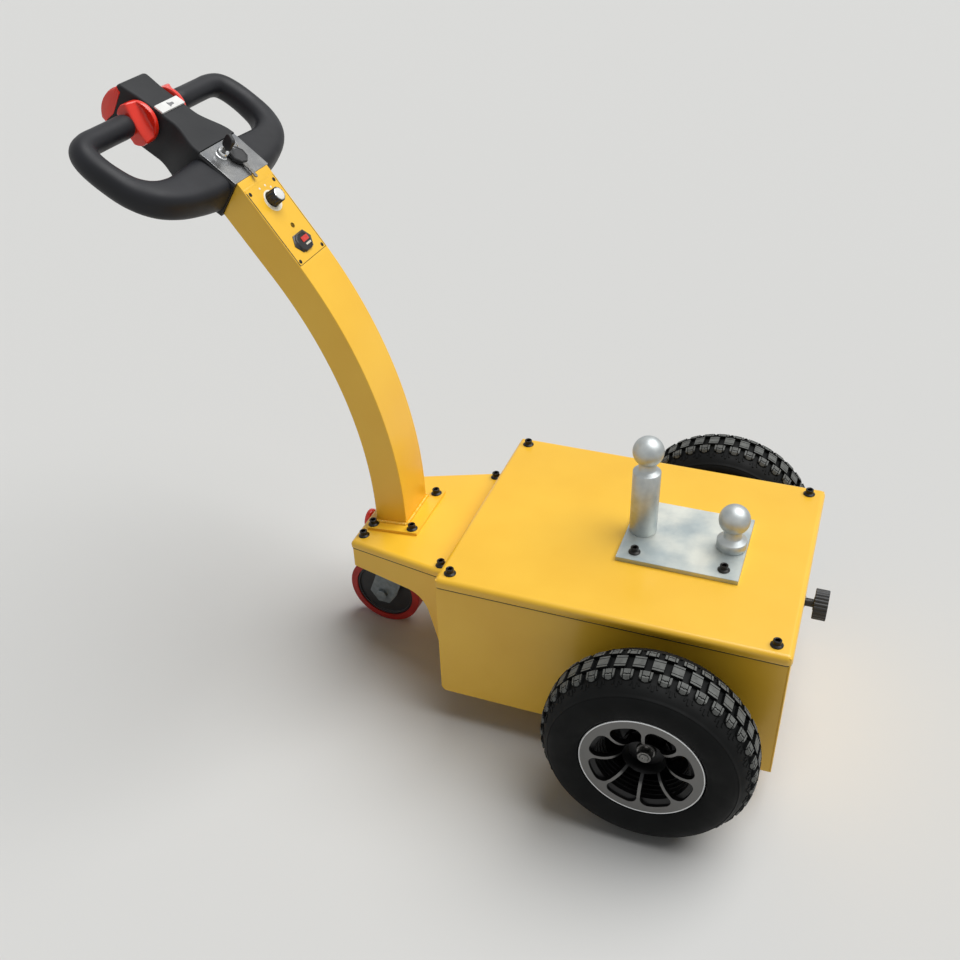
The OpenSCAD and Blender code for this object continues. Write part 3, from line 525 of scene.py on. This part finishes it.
def box_path(x0, x1, half, corner, step):
    """Points round a rectangle with round corners, evenly spaced; x and y in mm."""
    dense = [((x0 + x1) / 2 + x, y) for x, y in rounded(x1 - x0, 2 * half, corner, 6)]
    out, carry = [], 0.0
    for (ax, ay), (bx, by) in zip(dense, dense[1:] + dense[:1]):
        length = hypot(bx - ax, by - ay)
        while carry < length:
            out.append((ax + (bx - ax) * carry / length, ay + (by - ay) * carry / length))
            carry += step
        carry -= length
    return out


foot_top = seat("arm_foot_plate", foot_x, foot_y)[0]
bead_path = [Vector((axle.x + x * mm, y * mm, foot_top.z + (x - foot_x) * tan(deck_slope) * mm + 0.6 * mm))
    for x, y in box_path(*weld_box, bead_step)]
ripple = [bead_r + ripple_deep * cos(2 * pi * k * bead_step / ripple_long) + random.uniform(-0.12, 0.12)
    for k in range(len(bead_path))]
shaped("arm_weld", *tube(bead_path, ripple), yellow_coat, "yellow_paint", 60)

arm_along, arm_out = Vector((-0.589, 0, 0.808)), Vector((0.808, 0, 0.589))
arm_origin = from_axle(-650.9, 0, 742.4)


def on_arm(s, y, n=0.0):
    """A point on the arm's outer face: s mm along its straight part, y sideways, n above the face."""
    return arm_origin + arm_along * (s * mm) + Vector((0, y * mm, 0)) + arm_out * (n * mm)


def arm_frame(s, y):
    """A frame on the arm: X up the arm, Y to the operator's right, Z out of the face."""
    turn = Matrix((arm_along, arm_out.cross(arm_along), arm_out)).transposed()
    return Matrix.Translation(on_arm(s, y)) @ turn.to_4x4()


panel_s0, panel_s1, panel_half = -11.4, 126.4, 42.4
points, faces = [], []
# the painted shade of the gap is widest on the near side
for s0, s1, y0, y1 in ((panel_s0, panel_s1 - 5, -panel_half - 1.1, -panel_half + 1.1),
        (panel_s0, panel_s1, panel_half - 0.1, panel_half + 0.25),
        (panel_s0 - 0.25, panel_s0 + 0.15, -panel_half, panel_half)):
    first = len(points)
    points += [on_arm(s, y, n) for n in (-0.6, 0.08) for s, y in ((s0, y0), (s1, y0), (s1, y1), (s0, y1))]
    faces += [tuple(first + i for i in f) for f in (
        (0, 1, 2, 3), (4, 5, 6, 7), (0, 1, 5, 4), (1, 2, 6, 5), (2, 3, 7, 6), (3, 0, 4, 7))]
shaped("panel_gap_shade", points, faces, shadow_gap, "dark_steel")
# at its top the panel is filled and painted over
fill = slab(rounded(3.4, 2 * panel_half + 0.6, 0.3), [(0, -0.8), (0, 0.06), (0.3, 0.14)])
shaped("panel_top_fill", *join([(fill, arm_frame(panel_s1, 0))]), yellow_coat, "yellow_paint")

# ------ Panel screws and lamp socket
# Small black countersunk steel screws at the panel's corners, and a socket of tarnished brass for a
# lamp, pressed into the panel.
small = turned([(3.2, 0), (3.4, 0.4), (2.8, 0.7), (1.6, 0.7), (1.4, 0.2), (0.4, 0.2)], 18, hexagon=(4,))
parts = [(small, arm_frame(s, y)) for s in (-6, 117.3) for y in (-36, 36)]
shaped("panel_screws", *join(parts), black_oxide_steel, "dark_steel")

# tarnished brass: a dull brown gold
brass = surface("tarnished_brass", (0.6, 0.01), (2, "#54400e", "#8a6c22"), (2, 0.3, 0.45), metallic=0.9)
socket = turned([(4.0, 0), (4.2, 0.5), (3.7, 0.9), (2.6, 0.9), (2.3, 0.3), (0.5, 0.3)])
shaped("lamp_socket", *join([(socket, arm_frame(45, 4))]), brass, "dark_steel")

# ------ Speed knob
# A fluted knob moulded in black ABS with a chromed ring and a white cap, pushed on the shaft of the
# speed control, over a white disc and a scale printed on the panel.
# glossy black ABS: black with a clear highlight, which shows the flutes
glossy_abs = surface("glossy_black_abs", (1.0, 0.006), (10, "#121213", "#1c1c1e"), (6, 0.18, 0.28))
# white ABS: a soft cool white, half gloss
white_abs = surface("white_abs", (1.0, 0.004), (15, "#e2e2df", "#efefec"), roughness=0.35)
# chrome: bright, with sharp reflections
chrome_plate = surface("chrome_plate", (1.5, 0.003), (6, "#c9cbcd", "#dcdddd"), metallic=1.0, roughness=0.12)
# printing ink: a matt warm white
white_print = surface("white_screen_print", (0.6, 0.004), (4, "#ece6d2", "#f7f3e6"), roughness=0.5)

knob_s, dots_r, scale_start, scale_sweep, scale_steps = 94, 24.5, 70, 190, 40
knob_frame = arm_frame(knob_s, 0)
disc = turned([(16.1, 0), (16.1, 1.0), (15.6, 1.3), (13.4, 1.3), (13.4, 0.9)], 48)
shaped("speed_knob_disc", *join([(disc, knob_frame)]), white_print, "light_plastic")
body = turned([(15.4, 0), (16, 0.4), (16, 0.9), (13.2, 1.2), (13, 2.0), (12.2, 18.2), (11.4, 19.2), (9.0, 19.3)], 72,
    flutes=12, depth=1.3, fluted=(3, 4, 5, 6))
made = shaped("speed_knob_body", *join([(body, knob_frame)]), glossy_abs, "black_plastic")
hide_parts("speed_knob")
ring = turned([(10.2, 19.0), (10.2, 19.6), (9.7, 19.9), (8.8, 19.9)], 48)
shaped("speed_knob_ring", *join([(ring, knob_frame)]), chrome_plate, "zinc_plate")
cap = turned([(9.2, 19.2), (9.2, 19.8), (8.6, 20.0), (2, 20.0)], 48)
shaped("speed_knob_cap", *join([(cap, knob_frame)]), white_abs, "light_plastic")
# the printed scale widens from slow to fast, and dots carry it on
points, faces = [], []
for k in range(scale_steps + 1):
    for r in (15.8, 17.0 + 4.8 * k / scale_steps):
        s, y = on_circle(knob_s, 0, r, scale_start + scale_sweep * k / scale_steps)
        points += [on_arm(s, -y, n) for n in (0.0, 0.12)]
    if k:
        a, b = 4 * (k - 1), 4 * k
        faces += [(a + 1, a + 3, b + 3, b + 1), (a, b, b + 1, a + 1), (a + 2, a + 3, b + 3, b + 2)]
dot = turned([(1.9, 0), (1.9, 0.1), (1.7, 0.14)], 16)
dots = [(dot, arm_frame(*on_circle(knob_s, 0, dots_r, a))) for a in (48, 20, -19)]
shaped("speed_scale", *join([((points, faces), Matrix())] + dots), white_print, "light_plastic")

# ------ Battery meter
# A meter that snaps into the panel, moulded in glossy black ABS: a bevelled bezel with a dark face, a
# red window and a white strip of marks.
meter_s, meter_long, meter_wide = 15, 30, 34
octagon = [(x * meter_long, y * meter_wide) for x, y in ((-0.5, -0.25), (-0.3, -0.5), (0.3, -0.5), (0.5, -0.25),
    (0.5, 0.25), (0.3, 0.5), (-0.3, 0.5), (-0.5, 0.25))]
bezel = slab(octagon, [(0, 0), (0, 1.6), (1.0, 3.4), (2.2, 3.8), (3.2, 3.8), (3.6, 3.2)])
# a flange under the bezel, drawn out to a blunt point at both sides
outline = [(14.8, -14), (14.8, 17), (0, 27), (-14.8, 17), (-14.8, -14), (0, -23.5)]
flange = slab(outline, [(0, 0), (0, 0.9), (7, 2.6)])
shaped("battery_meter_flange", *join([(flange, arm_frame(meter_s + 1.4, 2))]),
    glossy_abs, "black_plastic", 20)
made = shaped("battery_meter_bezel", *join([(bezel, arm_frame(meter_s, 0))]),
    glossy_abs, "black_plastic", 20)
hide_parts("battery_meter")
# acrylic: a clear deep red with a sharp shine
red_window = surface("red_window_acrylic", (2.0, 0.002), (6, "#c8281e", "#e0443a"), roughness=0.18)
window = slab(rounded(8.5, 18.5, 0.8), [(0, 3.0), (0, 3.9), (0.4, 4.0)])
shaped("battery_meter_window", *join([(window, arm_frame(meter_s + 3.4, 5))]), red_window, "red_plastic")
ticks = [(slab(rounded(3.2, 1.6 if k % 2 else 2.4, 0.2), [(0, 3.0), (0, 3.85), (0.2, 3.95)]),
    arm_frame(meter_s - 5.6, 0.5 + 2.9 * k)) for k in range(5)]
shaped("battery_meter_marks", *join(ticks), white_print, "light_plastic")

# ------ Head housing
# Two shells of black ABS with a fine spark-eroded texture, screwed together: flat on top, round along
# every edge, waisted behind the thumb wheels. The texture makes it a matt dark grey under the sky.
textured_abs = surface("textured_abs", (0.9, 0.012), (60, "#222325", "#2a2b2d"), (30, 0.5, 0.62),
    specular_ior_level=0.24)

head_x, head_z, head_tilt = -787.6, 901.536, radians(32.8)
head_len, head_depth, key_len, key_drop, yoke_half = 164, 73, 69, 8.7, 51


def on_head(u, y, n):
    """A point of the head: u mm forward of the key plate's front edge, y sideways, n above its top."""
    c, s = cos(head_tilt), sin(head_tilt)
    return from_axle(head_x - u * c + n * s, y, head_z + u * s + n * c)


def ease(t):
    """A smooth step from 0 to 1."""
    t = min(1, max(0, t))
    return t * t * (3 - 2 * t)


def head_half(u):
    """Half the head's width: wide at the yoke, waisted, and a little wider again at the front."""
    return 31 + 20 * (1 - ease((u - 6) / 58)) + 4 * ease((u - head_len + 45) / 40)


def drawn_in(u, r):
    """How far an edge of radius r has drawn in round the nose at u."""
    return r - sqrt(max(0, r * r - max(0, u - head_len + r) ** 2))


def head_ring(u, half, top, bottom, edge):
    """A rounded rectangle across the head."""
    corners = ((half - edge, top - edge, 0), (edge - half, top - edge, 90), (edge - half, bottom + edge, 180),
        (half - edge, bottom + edge, 270))
    return [on_head(u, *on_circle(y, n, edge, a0 + 15 * i)) for y, n, a0 in corners for i in range(7)]


rings = []
for u in [0.4 + 3 * k for k in range(50)] + [head_len - 14 + 14 * sin(radians(9 * k)) for k in range(1, 11)]:
    rings.append(head_ring(u, head_half(u) - drawn_in(u, 6), -drawn_in(u, 10), drawn_in(u, 14) - head_depth, 4.5))
front = loft(rings)
# behind the plate's front edge the housing lies lower, under the key plate
rings = [head_ring(0.6 - k, yoke_half, -4.6 - k * (key_drop - 2) / key_len, -head_depth, 3.0)
    for k in [0] + [3 * j for j in range(1, 23)] + [key_len + 0.6]]
made = shaped("head_shell", *join([(front, Matrix()), (loft(rings), Matrix())]),
    textured_abs, "black_plastic", 50)
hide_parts("head_housing")

# ------ Grips
# The handle's two loops, moulded in one with the yoke and skinned with soft black polyurethane:
# round where the hand holds, swelling to a flat broad yoke beside the key plate.
soft_polyurethane = surface("soft_polyurethane", (1.6, 0.015), (70, "#121317", "#1a1b20"), (40, 0.42, 0.56),
    specular_ior_level=0.3)

both_sides = (("left", 1), ("right", -1))
# Columns: forward u, sideways y, half width, half depth, depth of the middle below the top, squareness
grip_stations = [
    (112, 62, 12, 12, 31, 2.0), (112, 66, 16, 16, 31, 2.0), (112, 74, 18, 18, 31, 2.0),
    (112, 95, 18, 18, 31, 2.0), (112, 135, 18, 18, 31, 2.0), (111, 161, 18.5, 18.5, 31, 2.0),
    (103, 181, 19.5, 19.5, 31.5, 2.0), (82, 190, 20, 20, 32, 2.05), (50, 191, 20, 21, 33, 2.1),
    (16, 184, 22, 22, 34, 2.25), (-10, 163, 25, 24, 35, 2.6), (-25, 130, 29, 25.5, 36, 3.1),
    (-30, 90, 34, 27.5, 38, 3.6), (-31, 48, 37, 31, 41, 4.2)]


def smooth_station(i, t):
    """A Catmull-Rom station between stations i and i + 1."""
    s = grip_stations
    a, b, c, d = s[max(0, i - 1)], s[i], s[i + 1], s[min(len(s) - 1, i + 2)]
    return [0.5 * (2 * q + (r - p) * t + (2 * p - 5 * q + 4 * r - w) * t * t + (3 * q - p - 3 * r + w) * t ** 3)
        for p, q, r, w in zip(a, b, c, d)]


rows = [smooth_station(i, j / 8) for i in range(len(grip_stations) - 1) for j in range(8)] + [grip_stations[-1]]
for name, way in both_sides:
    rings = []
    for k, (u, y, half, deep, low, square) in enumerate(rows):
        before, after = rows[max(0, k - 1)], rows[min(len(rows) - 1, k + 1)]
        du, dy = after[0] - before[0], after[1] - before[1]
        length = hypot(du, dy)
        across = (dy / length, -du / length)
        ring = []
        for i in range(40):
            c, s = on_circle(0, 0, 1, 9 * i)
            w = half * copysign(abs(c) ** (2 / square), c)
            h = deep * copysign(abs(s) ** (2 / square), s)
            ring.append(on_head(u + across[0] * w, way * (y + across[1] * w), -low + h))
        rings.append(ring)
    made = shaped("grip_loop_" + name, *loft(rings), soft_polyurethane, "soft_grip", 60)
    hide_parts("grip_" + name)

# ------ Thumb wheels
# The accelerator: one red ABS wing on each side of the head, on one shaft. Each is a disc with a
# broad bar across it and a deep scoop on both sides of the bar, for the thumb to push.
thumb_u, thumb_n, thumb_r, thumb_y, boss_r = 108, -31, 32.6, 35, 15
thumb_disc, thumb_high, scoop_floor, bar_shift, bar_half = 8, 26.7, 4.2, 1.5, 10.5
thumb_turn = radians(33)


def wing_height(x, y):
    """Height of the wing above its inner face; x runs across the bar and y along it."""
    off = abs(x + bar_shift)
    rise = 1 - ease((off - bar_half) / bar_half)
    rim = scoop_floor + (thumb_disc - scoop_floor) * ease((hypot(x, y) - 25) / 5)
    crest = thumb_high - scoop_floor - 3.0 * (y / thumb_r) ** 2 - 1.2 * (min(off, 12) / 12) ** 4
    return max(rim, scoop_floor + crest * rise)


for name, way in both_sides:
    rings = []
    levels = [(thumb_r - 1.2, 0.0), (thumb_r, 1.0)] + [(thumb_r * (1 - (k / 26) ** 1.15), None) for k in range(26)]
    for radius, level in levels:
        ring = []
        for i in range(120):
            a = 2 * pi * i / 120
            cut = 1 - 0.3 * max(0, -cos(a))  # flatter on the side away from the operator
            p, q = radius * cut * cos(a), radius * cut * sin(a)
            high = level if level is not None else wing_height(p, q) - (1.6 if radius == thumb_r else 0)
            u = thumb_u - p * sin(thumb_turn) + q * cos(thumb_turn)
            n = thumb_n + p * cos(thumb_turn) + q * sin(thumb_turn)
            ring.append(on_head(u, way * (thumb_y + high), n))
        rings.append(ring)
    boss = [[on_head(u, way * y, n) for u, n in (on_circle(thumb_u, thumb_n, boss_r, 11.25 * i) for i in range(32))]
        for y in (30.8, 35.5)]
    made = shaped("thumb_wing_" + name, *join([(loft(rings), Matrix()), (loft(boss), Matrix())]),
        red_abs, "red_plastic", 42)
    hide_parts("thumb_wheel_" + name)

# ------ Belly paddle
# The safety reverse switch's paddle, moulded in red ABS: a shallow drum at the head's front, pushed in
# by the operator's belly. Its cheeks reach back over both sides of the head's nose.
dress(red_abs, "belly_paddle", edge=1.4)
cheek = [(153, -10.5), (161.5, -6.5)] + [on_circle(131, -42, 44.6, a) for a in range(44, -40, -4)] + [
    (160, -70.5), (152, -50)]
cheek_u, cheek_n = 162, -40
parts = []
for way in (1, -1):
    rings = []
    for inset, y in ((0.3, 29.6), (0, 31), (0, 34.0), (0.5, 35.3), (1.7, 35.9)):
        ring = []
        for u, n in cheek:
            drawn = inset / hypot(u - cheek_u, n - cheek_n)
            ring.append(on_head(u + (cheek_u - u) * drawn, way * y, n + (cheek_n - n) * drawn))
        rings.append(ring)
    parts.append((loft(rings), Matrix()))
shaped("belly_paddle_cheeks", *join(parts), red_abs, "red_plastic", 40)

# ------ Horn button
# A rocker moulded in white ABS, let in across the head's top and a little dished, with a plain horn
# sign printed on it.
button_u = 90.5


def head_frame(u, y, n):
    """A frame on the head: X forward, Z out of its top, Y square to both."""
    x = (on_head(1, 0, 0) - on_head(0, 0, 0)).normalized()
    z = (on_head(0, 0, 1) - on_head(0, 0, 0)).normalized()
    return Matrix.Translation(on_head(u, y, n)) @ Matrix((x, z.cross(x), z)).transposed().to_4x4()


button = slab(rounded(17, 60, 1.6), [(0, 0), (0, 2.1), (0.5, 2.8), (1.3, 3.0), (3, 2.8), (14, 2.6)])
made = shaped("horn_button_cap", *join([(button, head_frame(button_u, 0, 0))]),
    white_abs, "light_plastic", 30)
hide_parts("horn_button")
# grey ink: matt, and paler than the head
grey_print = surface("grey_screen_print", (0.6, 0.004), (4, "#6f7072", "#808183"), roughness=0.5)
outline = [(-2.0, -6.2), (2.0, -6.2), (2.4, 0.6), (5.0, 6.2), (-5.0, 6.2), (-2.4, 0.6)]
horn = slab(outline, [(0, 2.5), (0, 2.95)])
shaped("horn_sign", *join([(horn, head_frame(button_u, 3, 0))]), grey_print, "grey_plate")

# ------ Key plate, switch and keys
# A satin anodised plate with a chromed lock barrel. One key stands in it, and a second hangs from
# the ring and lies on the plate; both have black phenolic heads and burnished steel blades.
anodised_plate = surface("anodised_plate", (4.0, 0.002), (30, "#86888b", "#9c9c9b"), (20, 0.2, 0.3), metallic=0.75)
dress(anodised_plate, "key_plate", edge=0.4)

plate_tilt = atan((key_drop - 2) / key_len)
lock_u, lock_y, key_turn = -20, -17, 1.1
spare_u, spare_y, spare_turn, spare_lift = -35, 4.7, radians(-13), 4.6


def plate_frame(u, y, spin=0.0, lift=0.0):
    """A frame on the key plate; X points forward along it before the spin."""
    flat = head_frame(u, y, -2 + u * tan(plate_tilt)) @ Matrix.Rotation(-plate_tilt, 4, "Y")
    return flat @ Matrix.Translation((0, 0, lift * mm)) @ Matrix.Rotation(spin, 4, "Z")


barrel = turned([(11, 0), (11, 1.6), (10.2, 2.4), (9.4, 2.6), (9.2, 4.2), (9, 8.6), (8.2, 9.8), (6.2, 10.2),
    (5.8, 9.2), (1, 9.2)], 48)
made = shaped("lock_barrel", *join([(barrel, plate_frame(lock_u, lock_y))]), chrome_plate, "zinc_plate")
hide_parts("key_switch")
# burnished steel: mid grey, with soft highlights
burnished_steel = surface("burnished_steel", (0.8, 0.008), (4, "#6a6967", "#8a8986"), (3, 0.26, 0.4), metallic=0.85)
blade = slab(rounded(2.2, 7.5, 0.4, 2), [(0, 8.5), (0, 16)])
in_lock = plate_frame(lock_u, lock_y, key_turn)
shaped("key_blade", *join([(blade, in_lock)]), burnished_steel, "zinc_plate")
standing = in_lock @ Matrix.Translation((0, 0, 26.5 * mm)) @ Matrix.Rotation(pi / 2, 4, "Y")
key_head = slab(rounded(23, 19, 5.5), [(1.2, -3.4), (0, -2.4), (0, 2.4), (1.2, 3.4)])
shaped("key_head", *join([(key_head, standing)]), phenolic, "black_plastic")

hanging = plate_frame(lock_u, -2) @ Matrix.Translation((0, 0, 20 * mm)) @ Matrix.Rotation(radians(62), 4, "X")
ring_path = [hanging @ (Vector((*on_circle(0, 0, 11, 9 * i), 0)) * mm) for i in range(40)]
shaped("key_ring", *tube(ring_path, [0.8] * 40, 8), chrome_plate, "zinc_plate", 60)
spare = plate_frame(spare_u, spare_y, spare_turn, spare_lift)
spare_head = slab([on_circle(0, 0, 16.5, 22.5 + 45 * i) for i in range(8)],
    [(1.4, -4.0), (0, -2.8), (0, 2.8), (1.2, 4.0), (3.0, 4.0), (3.4, 3.4)])
shaped("spare_key_head", *join([(spare_head, spare)]), phenolic, "black_plastic")
teeth = [(-14, -3.8), (-43, -3.8), (-45, -2.4), (-45, 0.5), (-42, 2.6), (-39, 1.2), (-36, 3.2), (-33, 1.4),
    (-30, 3.0), (-27, 1.6), (-24, 3.6), (-14, 3.8)]
shaped("spare_key_blade", *join([(slab(teeth, [(0, -1.2), (0, 1.0)]), spare)]),
    burnished_steel, "zinc_plate")

# ------ Drive motor and axle
# Closed inside the box: a plain motor and battery. The axle tubes are welded steel in dark primer, a
# soft blue black, and run out to both wheels.
dark_primer_steel = surface("dark_primer_steel", (2.0, 0.02), (40, "#232527", "#303234"), roughness=0.55)
dress(dark_primer_steel, "drive_motor", "axle_tubes", edge=0.6)
dress(phenolic, "battery_block", edge=1.0)

# ------ Tyres
# Knobby tyres moulded in black rubber: a centre row of blocks, each cut twice along its length, and a
# row of five-sided shoulder blocks on both sides with two cuts and a notch. Walking on roads has
# greyed the tops of the blocks; the grooves and the wall stay black.
tyre_rubber = surface("tyre_rubber", (1.5, 0.03, 4.0), (30, "#060707", "#0c0d0d"), (25, 0.52, 0.68),
    specular_ior_level=0.13)
worn_rubber = surface("worn_tread_rubber", (1.0, 0.04, 4.0), (9, "#4a4b49", "#6a6c69", 0.25, 0.75, 5.0),
    (10, 0.55, 0.7), specular_ior_level=0.35)

tyre_r, track_half, pitches = 163.5, 303.5, 37
block_floor, block_edge, rib_floor, rib_top = 148, 0.45, 146, 155.6
# Columns: distance from the tyre's middle, radius; with one raised line on the wall
wall = [(0, 157), (8, 156.9), (15, 156.5), (21, 155.8), (27, 154.8), (32, 153.6), (36, 152.3), (40, 150.5),
    (43.5, 148.2), (47, 145.5), (49.3, 143.4), (50.6, 143.0), (51.6, 142.0), (51.4, 141.0), (52.8, 139.5), (55, 136),
    (56.3, 132.6), (57.4, 129.2), (58.3, 126), (59, 120), (59, 114), (58.2, 108.5), (56.5, 104), (53.6, 99.8),
    (50, 97), (44.7, 93.8), (39.7, 76.4)]
crown_line = [(0, 163.2), (11, 163.2), (15.5, 162.8), (27.5, 159.9), (31.6, 154.5)]


def crown(w):
    """Radius of the blocks' tops at a distance from the middle."""
    for (w0, r0), (w1, r1) in zip(crown_line, crown_line[1:]):
        if abs(w) <= w1:
            return r0 + (r1 - r0) * (abs(w) - w0) / (w1 - w0)
    return r1


# Outlines of the blocks of one pitch: length round the tyre, distance from the middle
centre_blocks = [[(-8.85, a), (8.85, a), (8.85, b), (-8.85, b)] for a, b in ((-11, -7.4), (-6.5, 6.5), (7.4, 11))]
shoulder_blocks = [
    [(6.0, 15.8), (9.4, 15.8), (9.4, 27.2), (6.0, 27.2)], [(6.0, 27.2), (9.4, 27.2), (9.0, 28.2), (6.0, 29.5)],
    [(-9.4, 15.8), (-6.0, 15.8), (-6.0, 27.2), (-9.4, 27.2)], [(-9.4, 27.2), (-6.0, 27.2), (-6.0, 29.5), (-9.0, 28.2)],
    [(-5.3, 15.5), (5.3, 15.5), (5.3, 23.2), (2.6, 22.6), (1.2, 24.0), (0, 23.2), (-1.2, 24.0), (-2.6, 22.6),
        (-5.3, 23.2)],
    [(-5.3, 24.6), (-2.6, 24.0), (-1.2, 25.4), (0, 24.6), (1.2, 25.4), (2.6, 24.0), (5.3, 24.6), (5.3, 27.5),
        (-5.3, 27.5)],
    [(-5.3, 27.5), (5.3, 27.5), (5.3, 30.2), (0, 31.5), (-5.3, 30.2)]]

for name, way, turn in (("left", 1, 0.7), ("right", -1, 0.96)):

    def at(round_mm, w, radius, pitch):
        """A point of the tyre; round_mm is measured at the tread from the pitch's middle."""
        angle = -2 * pi * (pitch + turn) / pitches + round_mm / tyre_r
        return from_axle(radius * cos(angle), way * (track_half + w), tyre_r + radius * sin(angle))

    section = wall[:0:-1] + [(-w, r) for w, r in wall]
    points, faces = loft([[at(0, w, r, k / 4) for w, r in section] for k in range(pitches * 4)], closed=True)
    tops = []

    def block(outline, pitch, mirror, crown_at=crown, sunk=block_floor, worn=True):
        """Adds one block of the tread, with a broken edge of half a millimetre round its top."""
        first, count = len(points), len(outline)
        middle = (sum(s for s, _ in outline) / count, sum(w for _, w in outline) / count)
        for level in (0, 1, 2):
            for s, w in outline:
                if level == 2:
                    far = hypot(s - middle[0], w - middle[1])
                    s, w = s + (middle[0] - s) * block_edge / far, w + (middle[1] - w) * block_edge / far
                radius = sunk if level == 0 else crown_at(w) - (0.5 if level == 1 else 0)
                points.append(at(s, mirror * w, radius, pitch))
        for a in (first, first + count):
            for i in range(count):
                j = (i + 1) % count
                faces.append((a + i, a + j, a + count + j, a + count + i))
        if worn:
            tops.append(len(faces))
        faces.append(tuple(first + 2 * count + i for i in range(count)))

    for pitch in range(pitches):
        for outline in centre_blocks:
            block(outline, pitch, 1)
        for mirror in (1, -1):
            for outline in shoulder_blocks:
                block(outline, pitch + 0.5, mirror)
            # small ribs under the shoulder blocks carry the pattern down to the wall
            block([(-2.6, 32.5), (2.6, 32.5), (1.8, 41), (-1.8, 41)], pitch, mirror,
                lambda w: rib_top - (w - 32.5) * 0.5, rib_floor, False)
            for s in (-8.0, 8.0):
                rib = [(s - 1.6, 31.8), (s + 1.6, 31.8), (s * 0.86 + 1.2, 37.5), (s * 0.86 - 1.2, 37.5)]
                block(rib, pitch + 0.5, mirror, lambda w: rib_top - (w - 31.8) * 0.45, rib_floor, False)
    made = shaped("tread_" + name, points, faces, tyre_rubber, "tyre", 30, "wheel_" + name,
        worn_rubber, tops)
    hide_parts("tyre_" + name)

# ------ Rims and hubs
# Rims cast in aluminium and painted black, rubbed to a dull grey on their outer faces, with the ring's
# edge turned bright; the hub's collar and the barrel's steps stay black as painted shade. A nut, its washer and the
# end of the shaft show in the hub's middle.
# where the painted shade of the hub's collar and of the barrel's steps lies
hub_shade_r, hub_shade_end_r, steps_shade_r, steps_shade_w = 0.026, 0.044, 0.058, 44.5
painted_alloy, tree, shader = new_material("painted_alloy", metallic=0.25)
place = grain(tree, shader, 1.0, 0.006)
# the faces that look out along the axle are rubbed to the metal's grey, the walls stay black
lean = add(tree, "ShaderNodeSeparateXYZ", {"Vector": place.outputs["Normal"]})
spot = add(tree, "ShaderNodeSeparateXYZ", {"Vector": place.outputs["Object"]})
from_hub = add(tree, "ShaderNodeMapping",
    {"Vector": place.outputs["Object"], "Location": (-axle.x, 0, -tyre_r * mm), "Scale": (1, 0, 1)})
radius = add(tree, "ShaderNodeVectorMath", {0: from_hub.outputs["Vector"]}, operation="LENGTH").outputs["Value"]
# painted shade: the hub's collar, fading out towards the spokes, and the barrel's steps behind the spokes stay black
clear = add(tree, "ShaderNodeMapRange", {"Value": radius, "From Min": hub_shade_r, "From Max": hub_shade_end_r})
outer = calc(tree, "GREATER_THAN", calc(tree, "ABSOLUTE", spot.outputs["Y"]), (track_half + steps_shade_w) * mm)
either = calc(tree, "MAXIMUM", outer, calc(tree, "LESS_THAN", radius, steps_shade_r))
both = calc(tree, "MULTIPLY", either, clear.outputs["Result"])
both = calc(tree, "MULTIPLY", both, calc(tree, "ABSOLUTE", lean.outputs["Y"]))
paint(tree, shader, both, 0.5, 0.8, "#0a0a0b", "#777674")
gloss(tree, shader, place, 12, 0.3, 0.42)
# turned aluminium: bright, with soft highlights
turned_alloy = surface("turned_alloy", (0.7, 0.004), (8, "#d2d4d5", "#e0e1e1"), (6, 0.26, 0.36), metallic=1.0)
dress(painted_alloy, "rim_left", "rim_right", edge=0.9)
dress(phenolic, "hub_left", "hub_right", edge=0.5)
nut = turned([(14.3, 11.4), (14.3, 15.0), (13.6, 15.9), (11.0, 15.9), (11.6, 16.8), (11.6, 26.4), (10.2, 28.0),
    (7.2, 28.0), (7.0, 27.2), (6.4, 27.2), (6.4, 28.9), (5.7, 29.6), (2.4, 29.6), (1.6, 28.6), (0.4, 28.6)], 48,
    hexagon=(4, 5))
# a black disc closes the barrel behind the spokes: painted shade, so that the windows read dark
disc = turned([(30, -27), (62, -27), (62.5, -26), (58, -24.5), (50, -23), (46, -25), (30, -25)], 64)
edge = ((91.8, 49.0), (92.0, 49.6), (93.0, 50.0), (94.0, 49.5), (94.6, 48.2), (93.6, 46.8))
for name, way in both_sides:
    centre = from_axle(0, way * track_half, tyre_r)
    rings = []
    for i in range(96):
        x, z = on_circle(0, 0, 1, 3.75 * i)
        rings.append([centre + Vector((x, 0, z)) * (r * mm) + Vector((0, way * w * mm, 0)) for r, w in edge])
    shaped("rim_edge_" + name, *loft(rings, closed=True), turned_alloy, "alloy", 60, "wheel_" + name)
    outward = facing(centre, (0, way, 0))
    shaped("painted_shade_disc_" + name, *join([(disc, outward)]), phenolic, "dark_steel", body="wheel_" + name)
    shaped("axle_nut_" + name, *join([(nut, outward)]), burnished_steel, "dark_steel", body="wheel_" + name)

# ------ Caster
# One swivel caster under the step: a pressed steel fork, galvanised and gone grey, and a wheel with a
# red polyurethane tread cast on a black nylon core.
galvanised_steel = surface("galvanised_steel", (2.0, 0.015), (12, "#6a7275", "#868d90"), (15, 0.36, 0.5),
    metallic=0.7)
dress(galvanised_steel, "caster_top_plate", "caster_fork", "caster_axle_bolt", edge=0.8)
# polyurethane: a deep, slightly waxy red
red_polyurethane = surface("red_polyurethane", (2.5, 0.015), (20, "#a8201a", "#bd281f"), (10, 0.4, 0.58))
dress(red_polyurethane, "caster_tread", edge=0.8)
# nylon: a flat dark grey beside the tread's shine
black_nylon = surface("black_nylon", (1.5, 0.012), (20, "#18181a", "#232426"), roughness=0.45)
dress(black_nylon, "caster_core", edge=0.8)
